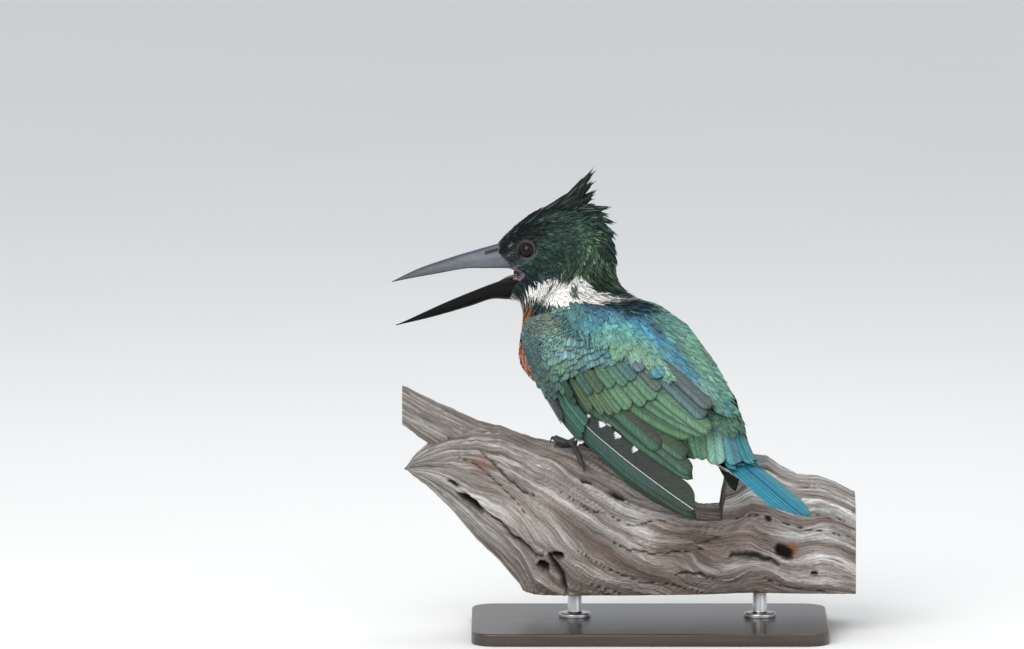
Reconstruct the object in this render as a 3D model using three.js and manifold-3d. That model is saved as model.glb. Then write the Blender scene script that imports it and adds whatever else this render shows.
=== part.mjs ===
// Life-size museum model of a male Amazon kingfisher (Chloroceryle amazona), perched with its
// bill open on a cut length of driftwood that a plain display stand carries.
// Millimetres, +Z up. The origin is the middle of the underside of the stand's base, the bill
// points to -X, and the tail to +X and -Y.

import * as THREE from 'three';
import { mergeVertices } from 'three/addons/utils/BufferGeometryUtils.js';
import Module from 'manifold-3d';

const wasm = await Module();
wasm.setup();

const { degToRad, lerp, smoothstep } = THREE.MathUtils;
const GAP = 0.3; // clear space between pieces that lie against each other

// ---------------------------------------------------------------- driving dimensions

const TRUNK_MIDDLE = new THREE.Vector3(-12, -4, 147);
const TRUNK_YAW = 40; // degrees the trunk's front is turned from -X towards +Y
const TRUNK_PITCH = 39; // degrees the trunk's front is raised

// Stations of the head and neck, from the bill back to the collar: middle x, y, z; heading
// and tilt of the section in degrees; half width; height above and below the middle;
// squareness of the section; how much the top is narrower than the bottom.
const HEAD_STATIONS = [
  [-86.8, 37.0, 200.3, 12, 86, 6.5, 16.0, 15.5, 2.0, 0.1],
  [-82.6, 36.0, 202.6, 12, 82, 10.0, 19.5, 18.5, 2.1, 0.15],
  [-77.6, 34.5, 205.5, 12, 78, 13.0, 23.5, 22.0, 2.2, 0.2],
  [-70.3, 32.5, 208.2, 13, 71, 15.5, 27.5, 26.0, 2.2, 0.25],
  [-62.7, 30.5, 209.5, 14, 63, 17.0, 30.5, 29.5, 2.2, 0.25],
  [-54.9, 28.5, 207.3, 18, 55, 19.0, 33.5, 31.0, 2.2, 0.2],
  [-49.3, 27.0, 200.4, 24, 50, 22.0, 34.5, 32.0, 2.2, 0.12],
  [-45.0, 24.5, 190.0, 31, 48, 28.5, 34.0, 36.0, 2.2, 0.05],
];

// Stations of the trunk: distance forward of its middle and up its back, then half width,
// above, below, squareness and taper as on the head.
const TRUNK_STATIONS = [
  [50, -1, 33.0, 27.0, 43.0, 2.2, 0],
  [35, 0, 36.0, 24.5, 43.5, 2.3, 0],
  [15, 0, 37.0, 33.5, 38.5, 2.4, 0],
  [-10, 0, 36.5, 34.0, 33.0, 2.4, 0],
  [-35, 3, 32.0, 31.0, 30.0, 2.3, 0],
  [-55, 10, 24.0, 24.0, 24.0, 2.2, 0],
  [-70, 16, 17.0, 17.0, 15.0, 2.1, 0],
  [-82, 18, 11.0, 9.0, 8.0, 2.0, 0],
];
const NECK_START = 5.2; // station number where the head ends and the neck begins
const NECK_END = 7.5; // station number where the neck ends and the trunk begins
const BODY_SPANS = {
  head: { from: 0, to: NECK_START, rings: 13 },
  neck: { from: NECK_START, to: NECK_END, rings: 6 },
  trunk: { from: NECK_END, to: HEAD_STATIONS.length + TRUNK_STATIONS.length - 1, rings: 16 },
};
const STATION_CUT = 0.06; // part of a station left open by a cut between two parts
const BODY_SIDES = 24;

// The head's own frame starts at the corner of the mouth: x forward, y to the left, z up.
const MOUTH_CORNER = new THREE.Vector3(-70.6, 32.5, 199.1);
const HEAD_HEADING = 12;

// Bill edges as [forward, up] in the head's frame, and half widths as [forward, half width].
const CULMEN = [
  [0, 19], [8, 17.6], [15.8, 15.7], [30.3, 11.3], [41.2, 7.8], [60.4, 0.8], [76.1, -7],
];
const UPPER_EDGE = [
  [0, 2.4], [8.9, 2.9], [22, 2.4], [33, 1.8], [49.5, -1.6], [63.1, -4.4], [76.1, -7.4],
];
const LOWER_EDGE = [
  [0, -1.6], [4, -3.2], [13.7, -5.4], [30.9, -12.1], [48.1, -19.6], [68.7, -29.4], [74, -31.6],
];
const GONYS = [
  [0, -13], [8, -15.4], [18.3, -15.6], [30.3, -19.7], [44.5, -24.2], [56.7, -27.7], [74, -32],
];
const BILL_HALF_WIDTHS = [[0, 6.6], [10, 6.4], [25, 5], [42, 3.6], [59, 2.2], [70, 1], [76.1, 0.35]];
const PALATE_DEPTH = 0.3; // how far the hollow inside each half of the bill goes, of its depth
const BILL_STEPS = 12;
const BILL_SIDES = 7; // points over the outer face, and again over the hollow one

// Edge between the feathers of the face and the bill, as [forward, up], closed well forward.
const FACE_EDGE = [
  [15.7, 45], [15.7, 15.8], [14.3, 11.2], [11.2, 8.2], [8.6, 3.2], [5, -0.2], [4.4, -4.1],
  [5.2, -7.5], [10.5, -14.9], [18, -15.6], [18, -45], [90, -45], [90, 45],
];
const FACE_EDGE_REACH = 30; // half width of the cut along that edge
const BILL_START = 0.3; // gap between bill and face

const TONGUE = { back: [3.6, -2.4], front: [14.5, -5.6], width: 2.6, depth: 0.9 };

const EYE = { forward: -4.2, up: 14.1, across: 11.3, radius: 5.2 };

// Locks of the crest: root forward and up, tip forward, across and up, half width.
const CREST_LOCKS = [
  [-2, 26, -14, 0, 36, 5], [-6, 27, -20, 5, 38.5, 4], [-6, 27, -21, -5, 38.5, 4],
  [-10, 27, -27, 1, 44.5, 5], [-14, 28, -33.6, -1, 51.5, 4.5], [-19, 27, -40.4, 0, 59, 4],
  [-22, 25, -41.4, 2, 51.5, 4], [-25, 22, -42.6, -3, 45, 4], [-28, 20, -51, 0, 38.8, 4.5],
  [-30, 18, -48.5, 5, 34, 4], [-31, 15, -52, -3, 28.6, 5], [-34, 12, -53, 1, 22.6, 5],
];
const CREST_SPAN = { from: 2.6, to: 6.6, low: 42, high: 138, thick: 1.5 };

// The folded wing lies on a sheet round the trunk: distance forward of the trunk's middle,
// half width of the sheet, its half height. The far wing is held closer to the body.
const WING_SHEETS = {
  left: [
    [-105, 24, 41.5], [-75, 30.7, 41.5], [-50, 36.4, 41.5], [-25, 41, 41.5], [0, 43, 41.5],
    [25, 42, 37], [40, 40.5, 32], [60, 36, 26],
  ],
  right: [
    [-105, 14, 41.5], [-75, 20.5, 41.5], [-50, 28.5, 41.5], [-25, 36.5, 42.5], [0, 41, 43],
    [25, 41, 36], [40, 39, 28.5], [60, 34, 22],
  ],
};
const WING_SHEET_MIDDLE = -4;
const WING_SQUARENESS = 2.4;
// Wing stations: distance forward, angle of the lower and upper edge (0 is the side, 90 the
// back), thickness.
const WING_STATIONS = [
  [51, -5, 6, 3], [48.5, -12, 14, 5], [44.5, -18, 27, 6.5], [40, -23, 41, 7], [33, -31, 56, 7],
  [21, -46, 64, 6.5], [5, -54, 67, 6], [-15, -57, 68, 5.2], [-35, -52, 67, 4.2],
  [-50, -43, 65, 3.2], [-62, -37, 61, 2.6], [-70, -32, 56, 2.2], [-75, -29, 49, 2],
  [-78, -27, 22, 1.8], [-86, -21, 9, 1.5], [-94, -15, 1, 1.2], [-101, -10, -6, 0.9],
];
const WING_COLUMNS = 6;
// Behind `from` the far wing's lower edge is drawn up, and behind `to` it lies at `level`.
const RIGHT_WING = { from: 15, to: 60, level: 3, lift: -14, narrowest: 3, shorter: 0.9 };

const TAIL = { base: [41.5, -48.4, 109.5], yaw: 43, pitch: 28, length: 70, crown: 1.5 };
const TAIL_HALF_WIDTHS = [[0, 9], [0.25, 11.5], [0.6, 14.5], [0.8, 15.5], [0.92, 14], [1, 10]];
const TAIL_THICKNESS = [3.4, 1.2]; // at the base and at the tip

// Driftwood stations: x, top, bottom, middle y, half depth. Below PERCH_SAWN it is sawn flat.
const LOG_STATIONS = [
  [-136.1, 94.1, 91.5, -2, 3], [-131, 100, 87.4, 0, 11], [-125, 104.8, 83, 2, 18],
  [-112, 112, 70, 4, 25], [-97, 116, 52, 6, 30], [-84, 115, 40, 8, 33],
  [-73, 110.5, 27, 9, 35], [-64, 107.5, 8, 10, 37], [-54, 106.3, 4, 10, 38],
  [-42, 103.7, 2, 10, 38.5], [-28, 99.8, 2, 10, 39], [-16.8, 94.7, 2, 10, 39],
  [-5.6, 87.9, 2, 10, 39], [5.6, 80, 2, 11, 39], [16.8, 73.2, 2, 12, 38.5],
  [27, 66.2, 2, 12, 38], [34, 65.4, 2, 13, 38], [40.8, 65.3, 2, 14, 38], [42.2, 84, 2, 16, 37],
  [49.3, 91.3, 2, 17, 37], [56.6, 98.6, 2, 18, 37], [66, 96.7, 2, 18, 37], [74, 91, 2, 18, 37],
  [83.4, 86.6, 2, 18, 37], [95, 85.8, 2, 18, 36.5], [105, 82.4, 2, 18, 36], [115.4, 76.6, 2, 18, 35],
];
const STUB_STATIONS = [
  [-138.9, 138.3, 116.3, 6, 10], [-132, 134.6, 111.5, 6, 11], [-126, 131.3, 107, 6.5, 12],
  [-112, 125.1, 98, 7, 14], [-96.3, 117.9, 90, 8, 16], [-84, 114.6, 88, 8.5, 17],
  [-74, 109, 90, 9, 9],
];
const PERCH_SAWN = 23; // height of the flat sawn underside
const PERCH_SQUARENESS = 2.5;
const PERCH_SIDES = 18;
const PERCH_RIDGES = [[0.03, 3, 0.012], [0.028, 5, -0.03], [0.02, 8, 0.045]]; // size, count, twist

// Feet: where the sole sits on the wood (x, and angle round it, 90 being the top), and the
// ankle. Each toe is [x travel, turn round the wood, radius].
const FEET = {
  left: { x: -43.5, angle: 97, ankle: [-38.5, 2, 110.5], hip: [-30, -5, 122] },
  right: { x: -28, angle: 72, ankle: [-24, 19.5, 107], hip: [-16, 11, 120] },
};
const TOES = [
  [-11, -16, 1.45], [-13, -6, 1.5], [-10.5, 9, 1.35], [7, 34, 1.4],
];
const TOE_TAPER = [1.25, 1.05, 1, 0.95, 0.6, 0.22];
const CLAW_ARCH = 0.7; // how far the root of a claw stands off the wood
const PAD = { radius: 2.6, stretch: [1.25, 1.1, 0.85], lift: 2.4 };
const SOLE_LIFT = 3; // where the shank starts above the wood
const TARSUS_RADIUS = 1.9;
const THIGH_RADII = [2.2, 4.6, 7.5, 9, 8];

const BASE = { length: 200, width: 120, height: 7, corner: 14, edge: 1.2 };
const ROD = { radius: 4, sunk: 4, pocket: 16, y: 8, x: [-42, 62], collar: 9, collarHeight: 2.6 };

// ---------------------------------------------------------------- making and joining solids

// Closed body with its faces pointing out; faces lists the corners of each triangle.
function closedBody(points, faces) {
  let volume = 0;
  for (let i = 0; i < faces.length; i += 3) {
    const [a, b, c] = [points[faces[i]], points[faces[i + 1]], points[faces[i + 2]]];
    volume += a.dot(b.clone().cross(c));
  }
  const index = volume < 0 ? [...faces].reverse() : faces;
  const geometry = new THREE.BufferGeometry().setFromPoints(points);
  geometry.setIndex(index);
  return geometry;
}

// Solid through a row of rings with equal counts, each end closed by a fan round its middle.
function loft(rings) {
  const count = rings[0].length;
  const points = rings.flat();
  const faces = [];
  for (let r = 0; r < rings.length - 1; r += 1) {
    for (let k = 0; k < count; k += 1) {
      const a = r * count + k;
      const b = r * count + ((k + 1) % count);
      faces.push(a, b, b + count, a, b + count, a + count);
    }
  }
  const middle = (ring) => ring.reduce((sum, p) => sum.add(p), new THREE.Vector3())
    .divideScalar(count);
  const start = points.push(middle(rings[0])) - 1;
  const end = points.push(middle(rings.at(-1))) - 1;
  const last = (rings.length - 1) * count;
  for (let k = 0; k < count; k += 1) {
    const next = (k + 1) % count;
    faces.push(start, next, k, end, last + k, last + next);
  }
  return closedBody(points, faces);
}

// Solid between two grids of points, outer and inner, with a wall all round their border.
function sheet(outer, inner) {
  const rows = outer.length;
  const columns = outer[0].length;
  const inside = rows * columns;
  const points = [...outer.flat(), ...inner.flat()];
  const faces = [];
  for (let r = 0; r < rows - 1; r += 1) {
    for (let c = 0; c < columns - 1; c += 1) {
      const p = r * columns + c;
      const [q, s, t] = [p + 1, p + columns + 1, p + columns];
      faces.push(p, q, s, p, s, t);
      faces.push(p + inside, s + inside, q + inside, p + inside, t + inside, s + inside);
    }
  }
  const border = [];
  for (let c = 0; c < columns - 1; c += 1) border.push(c);
  for (let r = 0; r < rows - 1; r += 1) border.push(r * columns + columns - 1);
  for (let c = columns - 1; c > 0; c -= 1) border.push((rows - 1) * columns + c);
  for (let r = rows - 1; r > 0; r -= 1) border.push(r * columns);
  border.forEach((i, k) => {
    const j = border[(k + 1) % border.length];
    faces.push(j, i, i + inside, j, i + inside, j + inside);
  });
  return closedBody(points, faces);
}

// Limb with an oval section carried along a path; the wide axis stays near `side`.
function limb(path, widths, depths, side, sides = 8) {
  const rings = path.map((point, i) => {
    const ahead = path[Math.min(i + 1, path.length - 1)];
    const behind = path[Math.max(i - 1, 0)];
    const along = ahead.clone().sub(behind).normalize();
    const across = side.clone().addScaledVector(along, -side.dot(along)).normalize();
    const through = along.clone().cross(across);
    return ringPoints(sides, (angle) => point.clone()
      .addScaledVector(across, widths[i] * Math.cos(angle))
      .addScaledVector(through, depths[i] * Math.sin(angle)));
  });
  return loft(rings);
}

function ringPoints(count, pointAt) {
  return Array.from({ length: count }, (_, k) => pointAt((2 * Math.PI * k) / count));
}

function steps(from, to, count) {
  return Array.from({ length: count + 1 }, (_, k) => lerp(from, to, k / count));
}

function toSolid(geometry) {
  const bare = geometry.clone();
  bare.deleteAttribute('normal');
  bare.deleteAttribute('uv');
  const merged = mergeVertices(bare, 1e-4);
  return new wasm.Manifold(new wasm.Mesh({
    numProp: 3,
    vertProperties: new Float32Array(merged.attributes.position.array),
    triVerts: new Uint32Array(merged.index.array),
  }));
}

function toGeometry(solid) {
  const mesh = solid.getMesh();
  const geometry = new THREE.BufferGeometry();
  geometry.setAttribute('position', new THREE.BufferAttribute(mesh.vertProperties, 3));
  geometry.setIndex(new THREE.BufferAttribute(mesh.triVerts, 1));
  return geometry;
}

const joined = (geometries) => geometries.map(toSolid).reduce((sum, part) => sum.add(part));
const cutBy = (solid, geometries) => geometries.map(toSolid)
  .reduce((rest, part) => rest.subtract(part), solid);

// ---------------------------------------------------------------- curves and frames

// Value in a column of a table whose first column is a rising position, straight between rows.
function along(table, x, column = 1) {
  const i = Math.max(table.findIndex(([position]) => position >= x), 1);
  const [before, after] = [table[i - 1], table[i]];
  return lerp(before[column], after[column], (x - before[0]) / (after[0] - before[0]));
}

// Smooth curve through the rows of a table; s counts rows, and the ends run on straight.
function spline(table, s) {
  const i = Math.min(Math.floor(s), table.length - 2);
  const t = s - i;
  const before = table[i - 1] ?? table[0].map((v, k) => 2 * v - table[1][k]);
  const after = table[i + 2] ?? table.at(-1).map((v, k) => 2 * v - table.at(-2)[k]);
  return table[i].map((p1, k) => {
    const [p0, p2, p3] = [before[k], table[i + 1][k], after[k]];
    const bend = 2 * p0 - 5 * p1 + 4 * p2 - p3;
    const twist = 3 * p1 - p0 - 3 * p2 + p3;
    return p1 + 0.5 * t * (p2 - p0 + t * (bend + t * twist));
  });
}

const power = (value, exponent) => Math.sign(value) * Math.abs(value) ** exponent;

// Left and upward directions of a section that faces `heading` and leans back to `tilt`.
function sectionAxes(heading, tilt) {
  const [h, t] = [degToRad(heading), degToRad(tilt)];
  const left = new THREE.Vector3(-Math.sin(h), -Math.cos(h), 0);
  const up = new THREE.Vector3(
    Math.cos(t) * Math.cos(h),
    -Math.cos(t) * Math.sin(h),
    Math.sin(t),
  );
  return { left, up, forward: left.clone().cross(up) };
}

const TRUNK_AXES = sectionAxes(TRUNK_YAW, 90 - TRUNK_PITCH);
const HEAD_AXES = sectionAxes(HEAD_HEADING, 90);

function trunkPoint(forward, left, up) {
  return TRUNK_MIDDLE.clone()
    .addScaledVector(TRUNK_AXES.forward, forward)
    .addScaledVector(TRUNK_AXES.left, left)
    .addScaledVector(TRUNK_AXES.up, up);
}

function headPoint(forward, left, up) {
  return MOUTH_CORNER.clone()
    .addScaledVector(HEAD_AXES.forward, forward)
    .addScaledVector(HEAD_AXES.left, left)
    .addScaledVector(HEAD_AXES.up, up);
}

const BODY_STATIONS = [
  ...HEAD_STATIONS,
  ...TRUNK_STATIONS.map(([forward, up, ...section]) => [
    ...trunkPoint(forward, 0, up).toArray(), TRUNK_YAW, 90 - TRUNK_PITCH, ...section,
  ]),
];

// Point of the feathered body at station s and angle phi (0 is the left side, 90 degrees the
// back): a superellipse, grown outwards by `grow`.
function bodyPoint(s, phi, grow = 0) {
  const [x, y, z, heading, tilt, half, above, below, square, taper] = spline(BODY_STATIONS, s);
  const { left, up } = sectionAxes(heading, tilt);
  const high = power(Math.sin(phi), 2 / square);
  const wide = power(Math.cos(phi), 2 / square) * (1 - taper * Math.sin(phi));
  return new THREE.Vector3(x, y, z)
    .addScaledVector(left, (half + grow) * wide)
    .addScaledVector(up, ((high >= 0 ? above : below) + grow) * high);
}

// One part of the body; a grown one cuts its neighbours and covers the cut in front of it.
function bodySpan(name, grow = 0) {
  const { from, to, rings } = BODY_SPANS[name];
  const start = grow > 0 || from === 0 ? from : from + STATION_CUT;
  return loft(steps(start, to, rings)
    .map((s) => ringPoints(BODY_SIDES, (phi) => bodyPoint(s, phi, grow))));
}

// ---------------------------------------------------------------- head, bill and eyes

// Prism across the head in front of the edge where feathers meet the bill.
function faceCut(shift) {
  const ring = (side) => FACE_EDGE.map(([forward, up]) => (
    headPoint(forward + shift, side * FACE_EDGE_REACH, up)));
  const outline = FACE_EDGE.map(([forward, up]) => new THREE.Vector2(forward, up));
  const faces = THREE.ShapeUtils.triangulateShape(outline, []).flatMap(([a, b, c]) => [
    a, b, c, a + outline.length, c + outline.length, b + outline.length,
  ]);
  const clockwise = THREE.ShapeUtils.isClockWise(outline);
  outline.forEach((_, i) => {
    const j = (i + 1) % outline.length;
    const [p, q] = clockwise ? [i, j] : [j, i];
    faces.push(p, q, q + outline.length, p, q + outline.length, p + outline.length);
  });
  return closedBody([...ring(1), ...ring(-1)], faces);
}

// One half of the bill: its section is a rounded outer arch between the cutting edges and a
// shallower arch inside, so that the cutting edges stand proud.
function billHalf(outerEdge, cuttingEdge) {
  const end = cuttingEdge.at(-1)[0];
  const rings = steps(0, end, BILL_STEPS).map((forward) => {
    const edge = along(cuttingEdge, forward);
    const depth = along(outerEdge, forward) - edge;
    const half = along(BILL_HALF_WIDTHS, forward);
    const arch = (angle, rise, fit) => headPoint(
      forward,
      half * fit * power(Math.cos(angle), 0.85),
      edge + depth * rise * power(Math.sin(angle), 0.9),
    );
    const outside = steps(0, Math.PI, BILL_SIDES).map((angle) => arch(angle, 1, 1));
    const inside = steps(Math.PI, 0, BILL_SIDES).slice(1, -1)
      .map((angle) => arch(angle, PALATE_DEPTH, 0.86));
    return [...outside, ...inside];
  });
  const front = toSolid(faceCut(BILL_START));
  return toSolid(loft(rings)).intersect(front);
}

function eyeBall(side, grow = 0) {
  const ball = new THREE.SphereGeometry(EYE.radius + grow, 14, 8);
  ball.translate(...headPoint(EYE.forward, side * EYE.across, EYE.up).toArray());
  return ball;
}

function headSolid() {
  return cutBy(toSolid(bodySpan('head')), [faceCut(0), eyeBall(1, GAP), eyeBall(-1, GAP)]);
}

function tongueSolid() {
  const [back, front] = [TONGUE.back, TONGUE.front];
  const path = steps(0, 1, 4).map((t) => (
    headPoint(lerp(back[0], front[0], t), 0, lerp(back[1], front[1], t) + Math.sin(Math.PI * t))));
  const taper = [0.9, 1, 0.9, 0.6, 0.15];
  const widths = taper.map((part) => TONGUE.width * part);
  const depths = taper.map((part) => TONGUE.depth * part);
  const body = toSolid(limb(path, widths, depths, HEAD_AXES.left, 6));
  return body.intersect(toSolid(faceCut(BILL_START)));
}

// The crest: a thin hood over the crown, and pointed locks that rise from it and lean back.
function crestSolid() {
  const { from, to, low, high, thick } = CREST_SPAN;
  const hood = (grow) => steps(from, to, 5).map((s) => (
    steps(degToRad(low), degToRad(high), 5).map((phi) => bodyPoint(s, phi, grow))));
  const locks = CREST_LOCKS.map(([rootForward, rootUp, tipForward, across, tipUp, half]) => {
    const root = headPoint(rootForward, across * 0.4, rootUp);
    const tip = headPoint(tipForward, across, tipUp);
    const bend = headPoint(
      lerp(rootForward, tipForward, 0.55),
      across * 0.9,
      lerp(rootUp, tipUp, 0.55),
    );
    const path = new THREE.QuadraticBezierCurve3(root, bend, tip).getPoints(4);
    const taper = [1, 1.05, 0.95, 0.65, 0.12];
    return limb(
      path,
      taper.map((part) => part * half),
      taper.map((part) => part * half * 0.45),
      HEAD_AXES.left,
      5,
    );
  });
  const whole = joined([sheet(hood(thick), hood(0)), ...locks]);
  return cutBy(whole, [bodySpan('head', GAP), bodySpan('neck', GAP)]);
}

// ---------------------------------------------------------------- wings and tail

// Point of the wing sheet: distance forward, angle round the trunk, side 'left' or 'right'.
function wingPoint(forward, angle, side, lift = 0) {
  const theta = degToRad(angle);
  const half = along(WING_SHEETS[side], forward, 1) + lift;
  const tall = along(WING_SHEETS[side], forward, 2) + lift;
  const out = half * power(Math.cos(theta), 2 / WING_SQUARENESS);
  const up = tall * power(Math.sin(theta), 2 / WING_SQUARENESS);
  return trunkPoint(forward, side === 'left' ? out : -out, WING_SHEET_MIDDLE + up);
}

// Where the edges of a wing lie at one station.
function wingEdges([forward, low, high, thickness], side) {
  if (side === 'left') return { forward, low, high, thickness };
  const { from, to, level, lift, narrowest, shorter } = RIGHT_WING;
  const raised = smoothstep(-forward, from, to);
  const lower = lerp(low, level, raised);
  return {
    forward: forward < 0 ? forward * shorter : forward,
    low: lower,
    high: Math.max(high + lift * raised, lower + narrowest),
    thickness,
  };
}

function wingSolid(side) {
  const stations = WING_STATIONS.map((station) => wingEdges(station, side));
  const grid = (face) => stations.map(({ forward, low, high, thickness }) => (
    steps(0, 1, WING_COLUMNS).map((u) => {
      const depth = face * thickness * Math.min(1, 0.3 + 5 * u * (1 - u));
      return wingPoint(forward, lerp(low, high, u), side, -depth);
    })));
  return cutBy(toSolid(sheet(grid(0), grid(1))), [bodySpan('neck', GAP), bodySpan('trunk', GAP)]);
}

function tailSolid() {
  const [yaw, pitch] = [degToRad(TAIL.yaw), degToRad(TAIL.pitch)];
  const back = new THREE.Vector3(
    Math.cos(pitch) * Math.cos(yaw),
    -Math.cos(pitch) * Math.sin(yaw),
    -Math.sin(pitch),
  );
  const left = new THREE.Vector3(-Math.sin(yaw), -Math.cos(yaw), 0);
  const up = left.clone().cross(back);
  const base = new THREE.Vector3(...TAIL.base);
  const grid = (face) => steps(0, 1, 8).map((t) => steps(-1, 1, 6).map((u) => {
    const half = along(TAIL_HALF_WIDTHS, t);
    const roundedEnd = 1 - 0.13 * t * t * u * u;
    const thickness = lerp(...TAIL_THICKNESS, t) * (1 - 0.5 * u * u);
    return base.clone()
      .addScaledVector(back, TAIL.length * t * roundedEnd)
      .addScaledVector(left, half * u)
      .addScaledVector(up, TAIL.crown * (1 - u * u) - face * thickness);
  }));
  return cutBy(toSolid(sheet(grid(0), grid(1))), [bodySpan('trunk', GAP)]);
}

// ---------------------------------------------------------------- perch, legs and feet

// Driftwood section at x: middle, half height and half depth between two stations.
function logSection(stations, x) {
  const [top, bottom, y, depth] = [1, 2, 3, 4].map((column) => along(stations, x, column));
  return { y, depth, z: (top + bottom) / 2, height: (top - bottom) / 2 };
}

// Point of the weathered surface at x and angle phi (0 is the far side, 90 degrees the top).
function logPoint(stations, x, phi, lift = 0) {
  const { y, z, depth, height } = logSection(stations, x);
  const ridge = PERCH_RIDGES.reduce((sum, [size, count, twist]) => (
    sum - size * (1 - Math.sin(count * phi + twist * x))), 1);
  const wide = power(Math.cos(phi), 2 / PERCH_SQUARENESS) * (depth * ridge + lift);
  const high = power(Math.sin(phi), 2 / PERCH_SQUARENESS)
    * (height * lerp(ridge, 1, Math.abs(Math.sin(phi))) + lift);
  return new THREE.Vector3(x, y + wide, Math.max(z + high, PERCH_SAWN));
}

function logLoft(stations) {
  return loft(stations.map(([x]) => (
    ringPoints(PERCH_SIDES, (phi) => logPoint(stations, x, phi)))));
}

// One foot: a pad on the wood, three toes forward and one back, each ending in a hooked claw.
function footSolid({ x, angle }, grow = 0) {
  const toes = TOES.map(([travel, turn, radius]) => {
    const path = steps(0, 1, TOE_TAPER.length - 1).map((t, i) => {
      const arch = i === TOE_TAPER.length - 3 ? CLAW_ARCH : 0;
      return logPoint(
        LOG_STATIONS,
        x + travel * t,
        degToRad(angle + turn * t),
        radius * TOE_TAPER[i] + GAP + arch,
      );
    });
    const widths = TOE_TAPER.map((part) => radius * part + grow);
    return limb(path, widths, widths, TRUNK_AXES.left, 5);
  });
  const pad = new THREE.SphereGeometry(PAD.radius + grow, 8, 5);
  pad.scale(...PAD.stretch);
  pad.translate(...logPoint(LOG_STATIONS, x, degToRad(angle), PAD.lift + GAP).toArray());
  return joined([pad, ...toes]);
}

// One leg: bare shank from the pad to the ankle, then the feathered thigh into the belly.
function legSolid(foot) {
  const sole = logPoint(LOG_STATIONS, foot.x, degToRad(foot.angle), SOLE_LIFT);
  const ankle = new THREE.Vector3(...foot.ankle);
  const hip = new THREE.Vector3(...foot.hip);
  const round = [TARSUS_RADIUS, TARSUS_RADIUS, TARSUS_RADIUS];
  const shank = limb([sole, ankle.clone().lerp(sole, 0.4), ankle], round, round, TRUNK_AXES.left);
  const path = steps(0, 1, THIGH_RADII.length - 1)
    .map((t) => ankle.clone().lerp(sole, 0.5).lerp(hip, t));
  const thigh = limb(path, THIGH_RADII, THIGH_RADII, TRUNK_AXES.left, 10);
  const whole = joined([shank, thigh]);
  return cutBy(whole, [bodySpan('trunk', GAP)]).subtract(footSolid(foot, GAP));
}

function rodProfile(grow = 0) {
  const { radius, sunk, pocket, collar, collarHeight } = ROD;
  const bottom = BASE.height - sunk + GAP - grow;
  const top = PERCH_SAWN + pocket - GAP + grow;
  const seat = BASE.height + GAP;
  const shape = grow > 0
    ? [[0, bottom], [radius + grow, bottom], [radius + grow, top], [0, top]]
    : [
      [0, bottom], [radius, bottom], [radius, seat], [collar, seat],
      [collar, seat + collarHeight - 1], [collar - 1, seat + collarHeight],
      [radius, seat + collarHeight], [radius, top], [0, top],
    ];
  return shape.map(([r, z]) => new THREE.Vector2(r, z));
}

function rod(x, grow = 0) {
  const body = new THREE.LatheGeometry(rodProfile(grow), 12);
  body.rotateX(Math.PI / 2);
  body.translate(x, ROD.y, 0);
  return body;
}

function perchSolid() {
  const wood = joined([logLoft(LOG_STATIONS), logLoft(STUB_STATIONS)]);
  return cutBy(wood, ROD.x.map((x) => rod(x, GAP)))
    .subtract(footSolid(FEET.left, GAP))
    .subtract(footSolid(FEET.right, GAP));
}

function standBase() {
  const { length, width, height, corner, edge } = BASE;
  const [a, b] = [length / 2 - edge, width / 2 - edge];
  const outline = new THREE.Shape();
  outline.moveTo(-a + corner, -b);
  outline.lineTo(a - corner, -b);
  outline.absarc(a - corner, -b + corner, corner, -Math.PI / 2, 0);
  outline.lineTo(a, b - corner);
  outline.absarc(a - corner, b - corner, corner, 0, Math.PI / 2);
  outline.lineTo(-a + corner, b);
  outline.absarc(-a + corner, b - corner, corner, Math.PI / 2, Math.PI);
  outline.lineTo(-a, -b + corner);
  outline.absarc(-a + corner, -b + corner, corner, Math.PI, 1.5 * Math.PI);
  const slab = new THREE.ExtrudeGeometry(outline, {
    depth: height - 2 * edge,
    bevelThickness: edge,
    bevelSize: edge,
    bevelSegments: 1,
    curveSegments: 3,
  });
  slab.translate(0, 0, edge);
  return cutBy(toSolid(slab), ROD.x.map((x) => rod(x, GAP)));
}

// ---------------------------------------------------------------- the model

const group = new THREE.Group();

function addPart(name, shape, color, roughness, metalness = 0) {
  const geometry = shape.isBufferGeometry ? shape : toGeometry(shape);
  const material = new THREE.MeshStandardMaterial({ color, roughness, metalness });
  const mesh = new THREE.Mesh(geometry, material);
  mesh.name = name;
  group.add(mesh);
}

addPart('head', headSolid(), 0x2f4a45, 0.7);
addPart('crest', crestSolid(), 0x16211f, 0.7);
addPart('neck', bodySpan('neck'), 0xf0eee8, 0.8);
addPart('trunk', bodySpan('trunk'), 0x3f7f78, 0.7);
addPart('upper_bill', billHalf(CULMEN, UPPER_EDGE), 0x3c4450, 0.35);
addPart('lower_bill', billHalf(GONYS, LOWER_EDGE), 0x15171a, 0.35);
addPart('tongue', tongueSolid(), 0x8a6a78, 0.5);
addPart('eye_left', eyeBall(1), 0x120d0a, 0.05);
addPart('eye_right', eyeBall(-1), 0x120d0a, 0.05);
addPart('wing_left', wingSolid('left'), 0x4f8f7d, 0.6);
addPart('wing_right', wingSolid('right'), 0x4f8f7d, 0.6);
addPart('tail', tailSolid(), 0x2f86a0, 0.55);
addPart('leg_left', legSolid(FEET.left), 0xe8e6df, 0.8);
addPart('leg_right', legSolid(FEET.right), 0xe8e6df, 0.8);
addPart('foot_left', footSolid(FEET.left), 0x1c1d20, 0.5);
addPart('foot_right', footSolid(FEET.right), 0x1c1d20, 0.5);
addPart('perch', perchSolid(), 0x8a7768, 0.9);
addPart('stand_base', standBase(), 0x26272a, 0.45);
ROD.x.forEach((x, i) => addPart(`stand_rod_${i + 1}`, rod(x), 0xa8abae, 0.3, 1));

export default group;
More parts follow.
